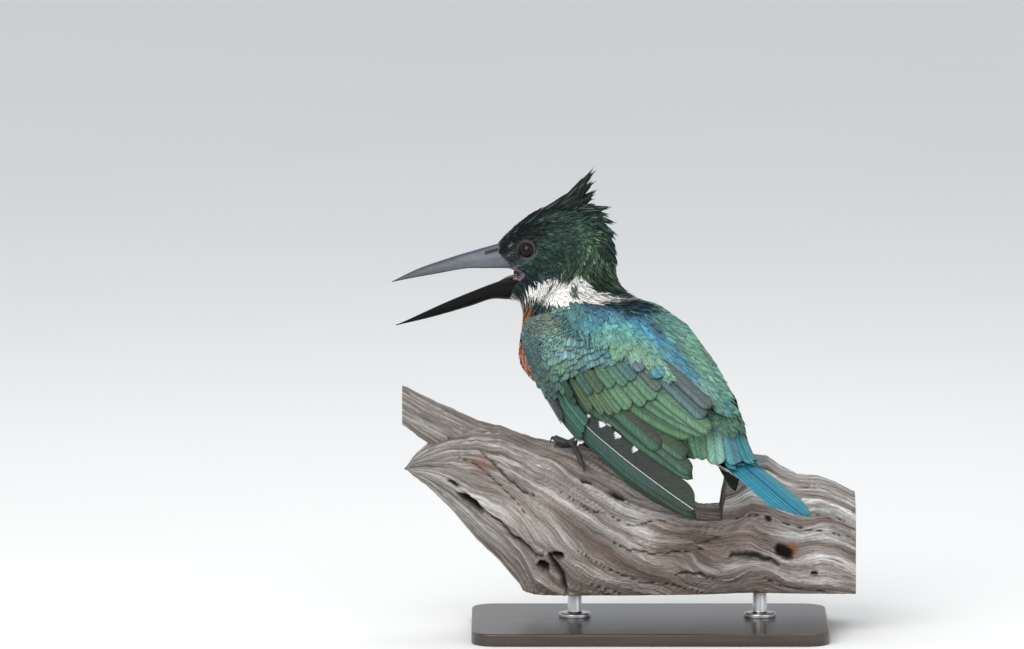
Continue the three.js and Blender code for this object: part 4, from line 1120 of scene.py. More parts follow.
LESSER_PATCHES = [
    [-27, 46, 6, 9, 0.10, 0.25, 0.27], [-31, 33, 6, 7, 0.12, 0.27, 0.27],
    [-12, 30, 9, 8, 0.12, 0.244, 0.264], [0, 18, 8, 8, 0.135, 0.244, 0.259],
    [8, 34, 8, 8, 0.128, 0.268, 0.319], [-27, 12, 8, 9, 0.247, 0.429, 0.385],
    [-14, 4, 7, 6, 0.135, 0.244, 0.209], [-37, 23, 6, 7, 0.21, 0.28, 0.21],
    [-46, 6, 5, 12, 0.171, 0.231, 0.201], [-42, -8, 8, 8, 0.095, 0.181, 0.184],
    [2, -3, 8, 5, 0.135, 0.195, 0.11], [-20, -15, 10, 8, 0.085, 0.148, 0.131],
    [-30, -26, 9, 8, 0.114, 0.214, 0.193],
]
WING_SPANS = ((-52, 102), (-58, 70))  # of distance back and angle


def wing_row(name, side, table, base, step, root_depth, look, widen=1.0, tip_colour=None, **shape):
    """One row of long feathers; each lies `step` above the one before, its lower side raised."""
    table = np.array(table)
    count = len(table)
    shafts = table[:, :6].reshape(count, 3, 2)
    if side == "right":
        shafts = shafts + rng.normal(0, 0.35, shafts.shape)
    lower, upper = (vary(table[:, k:k + 3], 0.05, 0.04) for k in (8, 11))
    tips = base + step * np.arange(count)

    def paint(t, u, across, run):
        web = blend(lower[:, None, None, :], upper[:, None, None, :], ease(u, -0.12, 0.12))
        if tip_colour is not None:
            web = blend(web, tip_colour, 0.85 * ease(t, 0.4, 0.85))
        # Partly painted shade: the dark line along the lower edge, the darker tip and upper side and the
        # darker root are partly the feather's own margin and partly shade where neighbouring feathers
        # overlap it.
        dark = mix(1.0, 0.25, ease(-u, 0.74, 1.0))  # line along the lower edge
        dark = dark * mix(1.0, 0.35, ease(t, 0.94, 1.0)) * mix(1.0, 0.7, ease(u, 0.3, 0.9))
        light = 1 + 0.38 * ease(-u, 0.15, 0.45) * (1 - ease(-u, 0.55, 0.85))
        return web * (dark * light * mix(0.6, 1.0, ease(t, 0.05, 0.4)))[..., None]

    long_feathers(f"{name}_{side}", look, wing_surface(side), WING_SPANS, shafts,
                  table[:, 6:8] * widen, np.stack([tips - root_depth, tips], -1), paint, **shape)
    note_roots(wing_surface(side), shafts[:, 0], lower, -1.0)


def shown_primary(side, look):
    """The innermost primary: a dark inner web with four white spots on its edge, a white shaft."""
    row = np.array(SHOWN_PRIMARY)

    def paint(t, u, across, run):
        colour = blend(row[8:11], row[11:14], ease(u, -0.03, 0.03))
        colour = colour * mix(1.0, 0.5, ease(np.abs(u), 0.9, 1.0))[..., None]
        colour = blend(colour, PRIMARY_TIP, 0.8 * ease(t, 0.6, 0.95))
        back = row[0] + (row[4] - row[0]) * run / run.max()
        spot = np.zeros(across.shape)
        for place, reach in SPOTS:
            inward = np.clip(1 - np.abs(back - place) / reach, 0, 1)
            spot = np.maximum(spot, ease(u - (0.88 - 0.26 * inward), 0.0, 0.05) * (inward > 0.08))
        return blend(colour, WHITE, spot)

    long_feathers(f"shown_primary_{side}", look, wing_surface(side), WING_SPANS,
                  row[:6].reshape(1, 3, 2), row[None, 6:8], np.array([[-1.4, -0.25]]), paint,
                  rows=150, columns=21, tip=0.13, notch=0.42, roll=-0.03, camber=0.02)


def covert_heading(back, angle):
    """Coverts point down along the leading edge and turn to run back over the wing."""
    down = np.interp(back, [-50, -45, -35, -20, 0, 20], [-85, -85, -62, -36, -15, 2])
    return down - 20 * ease(-angle, 0, 10) * ease(-back, -14, 0)


def lesser_coverts(side, look):
    """Scale-like feathers over the shoulder, finer towards the leading edge."""
    bed = wing_surface(side), WING_STEPS, WING_SPANS
    for name, gap, row_gap, nearest, furthest, length, width, shape, raised in (
        ("marginal_coverts", 1.8, 1.9, -52, -8, 4.8, 2.7, "round", 0.8),
        ("lesser_coverts", 4.3, 3.8, -35, 9, 8.2, 6.2, "oblong", 1.0),
    ):
        roots = scatter(bed, gap, row_gap, 0.22, ((nearest, furthest), (-40, 56)))
        back, angle = roots[:, 0], roots[:, 1]
        highest = np.minimum(read_off(WING_OUTLINE, back, 2) - 1, read_off(CAPE_EDGE, back) + 14)
        kept = (angle > read_off(WING_OUTLINE, back) + 2) & (angle < highest)
        if name == "lesser_coverts":
            front = np.interp(angle, [-30, 0, 25, 40], [-36, -33, -27, -20])
            rear = np.interp(angle, [-30, -10, 5, 20, 40, 55], [-22, -14, -10, -2, 6, 10])
            kept = kept & (back > front) & (back < rear)
        else:
            kept = kept & (back < np.interp(angle, [-30, 0, 25, 40, 52], [-31, -29, -23, -15, -8]))
        roots, back, angle = roots[kept], back[kept], angle[kept]
        count = len(roots)
        base = vary(patches(LESSER_PATCHES, back, angle), 0.16, 0.08)
        marks = {"root": 0.5, "upper": vary(base * 1.25, 0.08, 0.05), "edge": 0.62, "edge_from": 0.8,
                 "tip": 0.5, "tip_from": 0.9}
        small_feathers(
            f"{name}_{side}", look, bed, roots, base, covert_heading(back, angle) + rng.normal(0, 6, count),
            length * rng.uniform(0.88, 1.12, count), width * rng.uniform(0.9, 1.1, count),
            rng.uniform(0.35, 0.8, count) * raised, marks, shape, 8, 7,
            roll=rng.normal(-0.02, 0.04, count), thickness=0.2, sunk=0.8, camber=0.09)


def wrist_coverts(side, look):
    """Larger dark coverts over the wrist, below the lesser ones, hanging down and back."""
    bed = wing_surface(side), WING_STEPS, WING_SPANS
    roots = scatter(bed, 4.6, 5.2, 0.25, ((-46, 0), (-52, -2)))
    back, angle = roots[:, 0], roots[:, 1]
    front = np.interp(angle, [-50, -5], [-38, -44])
    rear = np.interp(angle, [-50, -36, -20, -6], [-26, -22, -14, -10])
    kept = (angle > read_off(WING_OUTLINE, back) + 3) & (back > front) & (back < rear)
    roots, back, angle = roots[kept], back[kept], angle[kept]
    count = len(roots)
    base = vary(patches(LESSER_PATCHES, back, angle), 0.12, 0.06)
    base = blend(base, [0.15, 0.30, 0.27], ease(-angle, 30, 42))
    small_feathers(
        f"wrist_coverts_{side}", look, bed, roots, base,
        covert_heading(back, angle) + rng.normal(0, 4, count), rng.uniform(10.5, 13, count),
        rng.uniform(5.6, 6.8, count), rng.uniform(0.2, 0.6, count),
        {"root": 0.55, "upper": base * 1.2, "edge": 0.7, "tip": 0.62, "tip_from": 0.9}, "round", 9, 7,
        thickness=0.2, sunk=0.9, camber=0.09)


def wing_feathers(side, look, shaft_look):
    """Every feather of one folded wing, from the primaries below to the coverts on top."""
    wing_row("primaries", side, PRIMARIES, -1.75, 0.24, 0.9, look, rows=34, notch=0.3, tip=0.13,
             roll=-0.03, tip_colour=PRIMARY_TIP)
    shown_primary(side, shaft_look)
    wing_row("secondaries", side, SECONDARIES, -0.25, 0.16, 1.4, look, rows=30, tip=0.12, roll=-0.045)
    for name, table, base, step, depth, tip, roll, widen in (
        ("primary_coverts", PRIMARY_COVERTS, 0.05, 0.07, 1.1, 0.13, -0.06, 1.0),
        ("leading_edge_coverts", LEADING_EDGE, 0.1, 0.14, 1.1, 0.16, -0.05, 1.0),
        ("greater_coverts", GREATER_COVERTS, 0.75, 0.09, 1.6, 0.16, -0.07, 1.12),
        ("median_coverts", MEDIAN_COVERTS, 1.25, 0.06, 1.7, 0.2, -0.07, 1.15),
    ):
        wing_row(name, side, table, base, step, depth, look, widen, rows=14, tip=tip, roll=roll)
    lesser_coverts(side, look)
    wrist_coverts(side, look)


# ------------------------------------------------------------------ tail and its coverts

TAIL_PAIRS = 6


def tail_feathers(look):
    """Twelve tail feathers, the middle pair on top, each pair lower and a little shorter."""
    pair = np.repeat(np.arange(TAIL_PAIRS)[::-1], 2)
    side = np.tile([-1.0, 1.0], TAIL_PAIRS)
    spread = side * (0.9 + 1.95 * pair)
    length = TAIL_LENGTH - 1.6 * pair ** 1.35
    shafts = np.stack([np.stack([back + 0 * spread, spread * share], -1)
                       for back, share in ((-6, 0.55), (length * 0.5, 0.92), (length, 0.98))], 1)
    widths = np.where((side > 0)[:, None], [[4.4, 3.2]], [[3.2, 4.4]])
    widths = widths * np.where(pair == 0, 0.85, 1.0)[:, None]
    tips = -2.1 + 0.17 * np.arange(2 * TAIL_PAIRS)
    tone = vary(np.tile([[0.038, 0.23, 0.385]], (2 * TAIL_PAIRS, 1)), 0.14, 0.05)

    def paint(t, u, across, run):
        outward_share = u * side[:, None, None]
        colour = blend(tone[:, None, None, :], [0.075, 0.31, 0.345], 0.85 * ease(outward_share, 0.35, 0.8))
        dark = mix(1.0, 0.5, ease(-outward_share, 0.72, 1.0)) * mix(1.0, 0.4, ease(outward_share, 0.9, 1.0))
        dark = dark * mix(1.0, 0.5, ease(t, 0.95, 1.0)) * mix(0.72, 1.0, ease(np.abs(across), 0.15, 0.5))
        return colour * (dark * mix(0.75, 1.0, ease(t, 0.1, 0.5)))[..., None]

    long_feathers("tail_feathers", look, tail_surface, ((-10, 70), (-14, 14)), shafts, widths,
                  np.stack([tips + 0.3, tips], -1), paint, rows=34, columns=11, tip=0.12, camber=0.03)


# Sheet from the rump on to the tail: distance back, height of its middle, half width, rise.
RUMP_SHEET = np.array([[55, 10, 25, 24.5], [70, 14, 19, 19.5], [82, 13.5, 16, 13.5], [92, 13, 14.5, 8.5],
                       [105, 17, 12, 5]])
# Large upper tail coverts of the left side and the middle, as in the tables of the wing.
TAIL_BASE_COVERTS = [
    [58, 16, 66, -2, 73.5, -28, 4.4, 4.2, 0.21, 0.406, 0.266, 0.27, 0.532, 0.336],
    [62, 28, 71, 8, 78.5, -15, 4.2, 4.2, 0.255, 0.532, 0.336, 0.18, 0.308, 0.196],
    [66, 50, 78, 27, 87, 2, 5.6, 5.6, 0.286, 0.567, 0.441, 0.221, 0.399, 0.357],
    [70, 74, 84, 61, 93.5, 51, 5.4, 5.4, 0.12, 0.32, 0.34, 0.12, 0.27, 0.32],
    [72, 90, 86, 90, 97, 90, 5.0, 5.0, 0.07, 0.29, 0.38, 0.09, 0.32, 0.38],
]


def rump_surface(back, angle, lift=0.0):
    """Half oval tube over distance back and angle (0 the left, 90 the top)."""
    middle, half, rise = (read_off(RUMP_SHEET, back, k) for k in (1, 2, 3))
    theta = np.radians(angle)
    return trunk_point(-np.asarray(back, float), (half + lift) * power(np.cos(theta), 2 / 2.2),
                       middle + (rise + lift) * power(np.sin(theta), 2 / 2.2))


def tail_base_coverts(look):
    """Nine broad feathers from under the rump over the root of the tail, the same on both sides."""
    table = np.array(TAIL_BASE_COVERTS)
    other = table[:-1].copy()
    other[:, [1, 3, 5]] = 180 - other[:, [1, 3, 5]]
    table = np.vstack([other, table])
    lower, upper = (vary(table[:, k:k + 3], 0.06, 0.04) for k in (8, 11))

    def paint(t, u, across, run):
        web = blend(lower[:, None, None, :], upper[:, None, None, :], ease(u, -0.1, 0.3))
        # Partly painted shade: the darker rim and tip are partly the feathers' own margin and partly shade
        # from their neighbours, and the dark root is painted shadow under the tips of the rump feathers.
        rim = mix(1.0, 0.45, ease(np.abs(u), 0.8, 1.0)) * mix(1.0, 0.5, ease(t, 0.93, 1.0))
        glow = 1 + 0.3 * ease(np.abs(u), 0.2, 0.5) * (1 - ease(np.abs(u), 0.6, 0.85))
        return web * (rim * glow * mix(0.35, 1.0, ease(t, 0.15, 0.5)))[..., None]

    tips = -0.5 + 0.12 * np.arange(len(table))
    long_feathers("tail_base_coverts", look, rump_surface, ((50, 105), (-40, 220)),
                  table[:, :6].reshape(-1, 3, 2), table[:, 6:8], np.stack([tips - 1.6, tips], -1),
                  paint, rows=20, columns=9, steps=(0.5, 1.5), tip=0.22, camber=0.1)
    note_roots(rump_surface, table, lower, -2.0)


def under_tail_surface(back, across, lift=0.0):
    """Rounded hollow below the tail: its depth falls from its root and towards its sides."""
    depth = mix(9.0, 2.4, ease(back, -12, 34)) * np.sqrt(np.clip(1 - (across / 13.0) ** 2, 0.02, 1))
    return in_frame(TAIL_BASE, TAIL_AXES, (back, across, -depth - 1.0 - lift))


def tail_coverts(look, pale_look):
    """Feathers that hide the root of the tail, green above and white below."""
    steps, spans = (0.5, 0.5), ((-12, 40), (-14, 14))
    bed = tail_surface, steps, spans
    roots = scatter(bed, 2.6, 3.2, 0.3, ((-14, 9), (-9.5, 9.5)))
    count = len(roots)
    share = ease(roots[:, 0], -10, 12)
    base = vary(blend([0.12, 0.28, 0.25], [0.06, 0.22, 0.29], share), 0.12, 0.06)
    small_feathers(
        "upper_tail_coverts", look, bed, roots, base, 1.5 * roots[:, 1] + rng.normal(0, 5, count),
        rng.uniform(12, 15, count), rng.uniform(5.2, 6.4, count),
        mix(1.8, 0.4, share) + rng.uniform(0, 0.3, count), {"root": 0.6, "edge": 0.8, "tip": 0.7},
        "round", 8, 5, ragged=0.04, sunk=0.3)
    bed = under_tail_surface, steps, spans
    roots = scatter(bed, 2.3, 2.9, 0.3, ((-14, 22), (-10, 10)))
    count = len(roots)
    small_feathers(
        "under_tail_coverts", pale_look, bed, roots, vary(np.tile(WHITE * 0.86, (count, 1)), 0.05, 0.02),
        rng.normal(0, 6, count), rng.uniform(10, 13, count), rng.uniform(3.8, 4.8, count),
        rng.uniform(0.3, 0.9, count), {"root": 0.7, "tip": 0.96}, "pointed", 7, 5, ragged=0.05, sunk=0.3)


# ------------------------------------------------------------------ bill, mouth and eyes

# Profiles of the bill: distance forward of the corner of the mouth, height.
CULMEN = [[0, 19], [8, 17.6], [15.8, 15.7], [30.3, 11.3], [41.2, 7.8], [60.4, 0.8], [76.1, -7]]
UPPER_EDGE = [[0, 2.4], [8.9, 2.9], [22, 2.4], [33, 1.8], [49.5, -1.6], [63.1, -4.4], [76.1, -7.4]]
LOWER_EDGE = [
    [0, -1.6], [4, -3.2], [13.7, -5.4], [30.9, -12.1], [48.1, -19.6], [68.7, -29.4], [74, -31.6]]
GONYS = [
    [0, -13], [8, -15.4], [18.3, -15.6], [30.3, -19.7], [44.5, -24.2], [56.7, -27.7], [74, -32]]
BILL_HALF_WIDTHS = [[0, 6.6], [10, 6.4], [25, 5], [42, 3.6], [59, 2.2], [70, 1], [76.1, 0.35]]
PALATE_DEPTH = 0.3  # height of the inner arch as a part of the outer one's
BILL_ROWS, BILL_COLUMNS = 150, 41
NOSTRIL = {"from": 13.4, "to": 22.3, "up": 11.6, "slope": -0.30, "half": 0.7, "depth": 0.9}


def smooth_curve(table, x):
    """Value at x of the Catmull-Rom curve through a table's points."""
    dense = smooth_rows(table, np.linspace(0, len(table) - 1, 400))
    return np.interp(x, dense[:, 0], dense[:, 1])


def nostril_slit(forward, up, ease_in, ease_out):
    """How far along its slit a place lies, 0 outside and 1 within, and its height off the slit."""
    along = ease(forward, NOSTRIL["from"], NOSTRIL["from"] + ease_in) * (
        1 - ease(forward, NOSTRIL["to"] - ease_out, NOSTRIL["to"]))
    return along, up - NOSTRIL["up"] - NOSTRIL["slope"] * (forward - 19)


def bill_half(outer_edge, cutting_edge, nostril):
    """Half a bill: at each distance forward an arch from one cutting edge over the outer ridge to
    the other, and a shallower arch back inside, so that the cutting edges stand proud."""
    forward = (np.linspace(0, 1, BILL_ROWS) ** 0.92 * cutting_edge[-1][0])[:, None]
    edge = smooth_curve(cutting_edge, forward)
    depth = smooth_curve(outer_edge, forward) - edge
    half = smooth_curve(BILL_HALF_WIDTHS, forward)
    angle = np.linspace(0, np.pi, BILL_COLUMNS)[None, :]
    inner_angle = angle[:, ::-1][:, 1:-1]
    keel = 1 - 0.10 * np.exp(-((angle - np.pi / 2) / 0.3) ** 2)  # the ridge is a little drawn in
    out = half * power(np.cos(angle), 0.85) * keel
    up = edge + depth * power(np.sin(angle), 0.9)
    if nostril:
        along, off = nostril_slit(forward, up, 1.5, 1.2)
        sunk = NOSTRIL["depth"] * along * np.exp(-(off / NOSTRIL["half"]) ** 2)
        groove = 0.16 * np.exp(-((off - 0.2) / 1.3) ** 2) * (
            ease(forward, 10, 16) * (1 - ease(forward, 24, 38)))
        out = out - np.sign(out) * (sunk + groove)
    grain = 0.035 * scatter_noise(forward + 0 * angle, angle * 12 + 0 * forward, 9, 1, 23)
    outside = head_point(forward + 0 * angle, out * (1 + grain * 0.6), up)
    inside = head_point(forward + 0 * inner_angle, half * 0.86 * power(np.cos(inner_angle), 0.85),
                        edge + depth * PALATE_DEPTH * power(np.sin(inner_angle), 0.9))
    return closed_loft(np.concatenate([outside, inside], axis=1))


def bill_piece(name, outer_edge, cutting_edge, nostril, look, node):
    """Half the bill with its colours: slaty above, black below, pinkish grey inside."""
    points, faces = bill_half(outer_edge, cutting_edge, nostril)
    columns = 2 * BILL_COLUMNS - 2
    forward, left, up = to_head(points)
    outer = np.zeros(len(points))
    outer[:BILL_ROWS * columns] = np.tile(np.arange(columns) < BILL_COLUMNS, BILL_ROWS)
    base = [0.0035, 0.0035, 0.004]
    if nostril:
        base = blend([0.098, 0.108, 0.130], [0.076, 0.084, 0.096], ease(forward, 20, 60))
        ridge = np.interp(forward, *np.array(CULMEN).T)
        base = blend(base, [0.045, 0.055, 0.07], ease(up, ridge - 2.2, ridge - 0.2))
        low = np.interp(forward, *np.array(UPPER_EDGE).T)
        base = blend(base, [0.03, 0.036, 0.045], 0.8 * (1 - ease(up, low + 0.2, low + 1.3)))
        along, off = nostril_slit(forward, up, 1, 1)
        base = blend(base, [0.004, 0.004, 0.005], along * np.exp(-(off / 0.95) ** 4))
    add_piece(name, (points, faces), look, node, tint=blend([0.05, 0.035, 0.042], base, outer),
              maps=[("grain", np.stack([forward, up + left], -1))])


GAPE_RIM = [[9.0, 3.2], [4.4, 1.9], [0.9, 0.2], [1.6, -1.6], [4.2, -3.4]]  # forward, up
GAPE_ROWS, GAPE_COLUMNS = 25, 33
GAPE_FLARE = 1.85  # the skin of the corner widens this much towards the cheeks


def gape_lining(look):
    """Soft corner of the mouth: a hollowed web from the upper to the lower half of the bill.

    Across the mouth it sinks back towards the throat; its rim runs from the upper cutting edge
    in to the corner and out to the lower one.
    """
    share = np.linspace(0, 1, GAPE_ROWS)
    rim = smooth_rows(GAPE_RIM, share * (len(GAPE_RIM) - 1))
    forward, up = rim[:, :1], rim[:, 1:]
    u = np.linspace(-1, 1, GAPE_COLUMNS)
    half = smooth_curve(BILL_HALF_WIDTHS, forward)
    sunk = 5.5 * (1 - u ** 2) * np.sin(mix(0.15, np.pi - 0.15, share))[:, None]
    folds = 0.12 * np.sin(9 * np.pi * share)[:, None] * np.abs(u)
    front = head_point(forward - sunk + folds, half * u, up + 0 * u)
    behind = head_point(forward * 0.35 - sunk - 4.2, half * GAPE_FLARE * u, up * 1.15 + 0 * u)
    points, faces = closed_loft(np.concatenate([front, behind[:, ::-1]], axis=1))
    inward = 1 - np.abs(to_head(points)[1]) / 6.5
    tint = blend([0.21, 0.14, 0.185], [0.07, 0.03, 0.04], ease(inward, 0.05, 0.6))
    add_piece("gape_lining", (points, faces), look, tint=tint)


def tongue_piece(look):
    """Short flat tongue: an oval section that tapers to a rounded tip, with a shallow groove."""
    t = np.linspace(0, 1, 28)
    angle = circle(24)
    middle = head_point(mix(2.6, 14.5, t), 0 * t, mix(-2.2, -5.6, t) + np.sin(np.pi * t))
    wide = 2.6 * np.interp(t, [0, 0.25, 0.5, 0.75, 0.93, 1], [0.9, 1, 0.9, 0.6, 0.3, 0.08])[:, None]
    groove = 0.25 * np.exp(-(np.cos(angle) / 0.25) ** 2) * (np.sin(angle) > 0)
    points, faces = closed_loft(
        middle[:, None, :] + HEAD_LEFT * (wide * np.cos(angle))[..., None]
        + HEAD_UP * (0.36 * wide * (np.sin(angle) - groove))[..., None])
    add_piece("tongue_surface", (points, faces), look, "tongue", tint=[0.16, 0.085, 0.10])


def eye_axes(side):
    """Middle of an eye, the way it looks, and two directions across."""
    middle = head_point(EYE_FORWARD, side * EYE_ACROSS, EYE_UP)
    look = unit(HEAD_LEFT * side + 0.24 * HEAD_FORWARD + 0.10 * HEAD_UP)
    first = unit(np.cross(HEAD_UP, look))
    return middle, look, first, np.cross(look, first)


EYE_RINGS, EYE_COLUMNS, LID_COLUMNS = 56, 64, 96


def eye_piece(name, side, look, node):
    """Ball with a slightly bulging cornea: rings round the axis it looks along."""
    middle, axis, first, second = eye_axes(side)
    polar = np.linspace(0, 1, EYE_RINGS + 2)[1:-1, None, None] ** 1.25 * np.pi
    turn = circle(EYE_COLUMNS)[:, None]
    radius = EYE_RADIUS * (1 + 0.035 * np.exp(-(polar / 0.62) ** 2))
    points, faces = closed_loft(middle + axis * radius * np.cos(polar) + (
        first * np.cos(turn) + second * np.sin(turn)) * radius * np.sin(polar))
    offset = points - middle
    across = np.linalg.norm(offset - (offset @ axis)[:, None] * axis, axis=-1)
    fibres = 1 + 0.35 * noise(np.stack([np.arctan2(offset @ first, offset @ second) * 9,
                                        across * 0.5, 0 * across], -1), 3)
    iris = np.array([0.006, 0.0035, 0.0025]) * fibres[:, None]
    tint = blend([0.001, 0.001, 0.001], iris, ease(across, 2.3, 2.5))
    tint = blend(tint, [0.004, 0.003, 0.003], ease(across, 3.7, 4.1))
    tint = np.where((offset @ axis > 0)[:, None], tint, 0.05)
    add_piece(name, (points, faces), look, node, tint=tint)


# Section of the lids: distance from the eye's axis, height over the opening's edge, tone.
LID_PROFILE = [
    [4.15, 0.06, 0.3], [4.27, 0.34, 1.3], [4.46, 0.46, 0.4], [4.68, 0.34, 0.3], [4.85, 0.22, 0.3],
    [5.02, 0.34, 0.4], [5.2, 0.26, 2.2], [5.5, 0.02, 0.5], [6.1, -0.35, 0.3], [7.0, -1.3, 0.3],
    [6.6, -2.6, 0.3], [5.2, -2.6, 2.2], [4.5, -1.0, 0.3818],
]


def ring_seam(rows, columns):
    """Quads that join the last ring of a closed loop of rings to the first."""
    c = np.arange(columns)
    last, after = (rows - 1) * columns, (c + 1) % columns
    return np.stack([last + c, c, after, last + after], -1)


def lid_body(side):
    """Ring of bare skin round an eye: a rolled inner rim, two folds, then a slope into the face.

    Around the ring, distance from the eye's axis and height along it follow one closed profile;
    the outer edge lies under the feathers.
    """
    middle, axis, first, second = eye_axes(side)
    turn = circle(LID_COLUMNS)[:, None]
    distance, height, tone = np.array(LID_PROFILE).T
    height = np.sqrt(EYE_RADIUS ** 2 - EYE_OPENING ** 2) + height
    pleats = 0.05 * np.sin(turn * 23) * ease(distance, 4.2, 5.2) * (distance < 6.2)
    oval = distance * (1 + 0.03 * np.cos(2 * turn))
    facing = (first * np.cos(turn) + second * np.sin(turn))[:, None, :]
    rings = middle + axis * (height + pleats)[..., None] + facing * oval[..., None]
    count, columns, _ = rings.shape
    points = rings.reshape(-1, 3)
    quads = np.vstack([grid_faces(count, columns, True), ring_seam(count, columns)])
    patchy = 1 + 0.45 * noise(turn * [5, 0, 0], 31)
    tint = np.array([0.027, 0.026, 0.025]) * (tone * patchy[:, None])[..., None]
    return points, outward(points, [quads]), tint.reshape(-1, 3)


# ------------------------------------------------------------------ perch

LOG_STATIONS = np.array([  # x, top, bottom, middle y, half depth
    [-136.1, 94.1, 91.5, -2, 3], [-131, 100, 87.4, 0, 11], [-125, 104.8, 83, 2, 18],
    [-112, 112, 70, 4, 25], [-97, 116, 52, 6, 30], [-84, 115, 40, 8, 33],
    [-73, 110.5, 27, 9, 35], [-64, 107.5, 8, 10, 37], [-54, 106.3, 4, 10, 38],
    [-42, 103.7, 2, 10, 38.5], [-28, 99.8, 2, 10, 39], [-16.8, 94.7, 2, 10, 39],
    [-5.6, 88.5, 2, 10, 39], [5.6, 86, 2, 11, 39], [16.8, 85, 2, 12, 38.5],
    [30, 86, 2, 13, 38], [40.8, 89, 2, 15, 37.5], [49.3, 93, 2, 17, 37],
    [56.6, 98.6, 2, 18, 37], [66, 96.7, 2, 18, 37], [74, 91, 2, 18, 37],
    [83.4, 86.6, 2, 18, 37], [95, 85.8, 2, 18, 36.5], [105, 82.4, 2, 18, 36], [115.4, 76.6, 2, 18, 35],
])
NOTCH = [[-16.8, 140], [-9, 92], [5.6, 80], [16.8, 73.2], [27, 66.2], [34, 65.4], [40.2, 65.3], [42.6, 84],
         [49.3, 92], [56, 140]]  # x and height of the top where the wood has broken away
NOTCH_SOFTNESS = 1.1  # mm over which the broken edge is rounded
STUB_STATIONS = np.array([  # of the broken stub, as above
    [-138.9, 138.3, 116.3, 6, 10], [-132, 134.6, 111.5, 6, 11], [-126, 131.3, 107, 6.5, 12],
    [-112, 125.1, 98, 7, 14], [-96.3, 117.9, 90, 8, 16], [-84, 114.6, 88, 8.5, 17],
    [-74, 109, 90, 9, 9],
])
PERCH_SAWN = 23.0  # height of the sawn underside
PERCH_SQUARENESS = 2.5
# Slow waves round the wood: size, number of them, turn in radians for each mm along it.
PERCH_RIDGES = [[0.03, 3, 0.012], [0.028, 5, -0.03], [0.02, 8, 0.045]]
WOOD_ARC = 0.78  # mm round the wood for one degree, about
RING_ANGLES = np.linspace(-90, 270, 721)  # half a degree apart


def log_surface(stations):
    """Surface of the weathered wood over x and angle (90 the top, 180 the near side).

    A superellipse through the stations; its depth is scaled by a sum of slow waves round it.
    """
    def surface(x, phi, lift=0.0):
        x = np.asarray(x, float)
        top, bottom, y, depth = (read_off(stations, x, k) for k in (1, 2, 3, 4))
        angle = np.radians(phi)
        middle, tall = (top + bottom) / 2, (top - bottom) / 2
        ridge = 1 + 0 * x
        for size, count, twist in PERCH_RIDGES:
            ridge = ridge - size * (1 - np.sin(count * angle + twist * x))
        wide = power(np.cos(angle), 2 / PERCH_SQUARENESS) * (depth * ridge + lift)
        high = power(np.sin(angle), 2 / PERCH_SQUARENESS) * (
            tall * mix(ridge, 1.0, np.abs(np.sin(angle))) + lift)
        return np.stack([x + 0 * angle, y + wide, middle + high], -1)
    return surface


LOG_SURFACE = log_surface(LOG_STATIONS)

# Cracks and grooves in the wood: half width and depth in mm, then points as x, angle.
WOOD_CRACKS = [
    (0.9, 3.2, [(-95, 143), (-86, 154), (-79, 161), (-71, 162), (-65, 158)]),
    (1.3, 4.0, [(-93, 194), (-76, 199), (-67, 191.5), (-60, 190)]),
    (2.0, 6.5, [(-56, 189), (-52, 195), (-49, 200), (-46.7, 212)]),
    (0.5, 1.8, [(-50.7, 151), (-35, 159), (-11, 162), (-1.5, 155.6), (6.5, 153.4), (16.8, 148.4)]),
    (0.5, 1.8, [(-20.5, 176.4), (-11, 178), (12.8, 176.4), (30, 174)]),
    (0.4, 1.2, [(16, 170.7), (30, 170), (41, 168.5)]),
    (0.8, 2.6, [(14.4, 188.6), (20.8, 187), (28.7, 190), (38, 197)]),
    (1.6, 2.2, [(44.6, 181), (58, 184), (71.6, 187)]),
    (0.5, 2.0, [(-110, 150), (-98, 158), (-84, 170), (-70, 176)]),
    (0.4, 1.5, [(-40, 183), (-22, 192), (-6, 196), (12, 199), (30, 207)]),
    (0.5, 1.8, [(-34, 203), (-16, 210), (6, 214), (24, 214)]),
    (0.4, 1.4, [(48, 160), (62, 163), (80, 160), (98, 163), (112, 160)]),
    (0.5, 1.8, [(60, 199), (76, 204), (92, 203), (112, 207)]),
    (0.4, 1.4, [(70, 148), (84, 146), (100, 149), (113, 147)]),
    (0.5, 2.0, [(52, 214), (70, 220), (90, 219), (110, 224)]),
    (0.5, 1.8, [(44, 120), (60, 116), (82, 118), (108, 114)]),
    (0.6, 2.0, [(-70, 60), (-40, 48), (-8, 40), (26, 36)]),
    (0.5, 1.8, [(-90, 30), (-52, 20), (-14, 14), (30, 10)]),
    (0.5, 1.8, [(-60, 0), (-20, -8), (24, -12), (70, -10)]),
    (0.5, 1.8, [(50, 60), (76, 52), (108, 50)]),
    (0.4, 1.6, [(56, 28), (84, 22), (112, 24)]),
]
# Holes and hollows: x, angle, half length, half width, depth.
WOOD_HOLES = [
    (-110, 186.5, 3.0, 2.2, 5.0), (-100, 197, 8.0, 5.5, 6.5), (-59.4, 196.5, 3.4, 3.2, 7.0),
    (-51.5, 187.6, 3.8, 1.9, 6.0), (-36, 138, 3.6, 1.6, 2.4), (-18, 142, 5.5, 2.2, 2.6),
    (75, 179.5, 5.6, 2.8, 5.5), (66, 163, 2.4, 1.8, 1.8), (92, 190, 2.2, 1.4, 2.0),
    (20, 222, 3.5, 2.4, 4.0), (-30, 30, 4.0, 2.5, 4.0), (78, 70, 3.2, 2.2, 3.0),
]
WOOD_KNOBS = [  # x, angle, half length, half width, height
    (-111, 178, 6.5, 5.5, 2.2), (66, 163, 5.0, 4.0, 0.9), (-96, 176, 9.0, 4.0, 1.2),
]


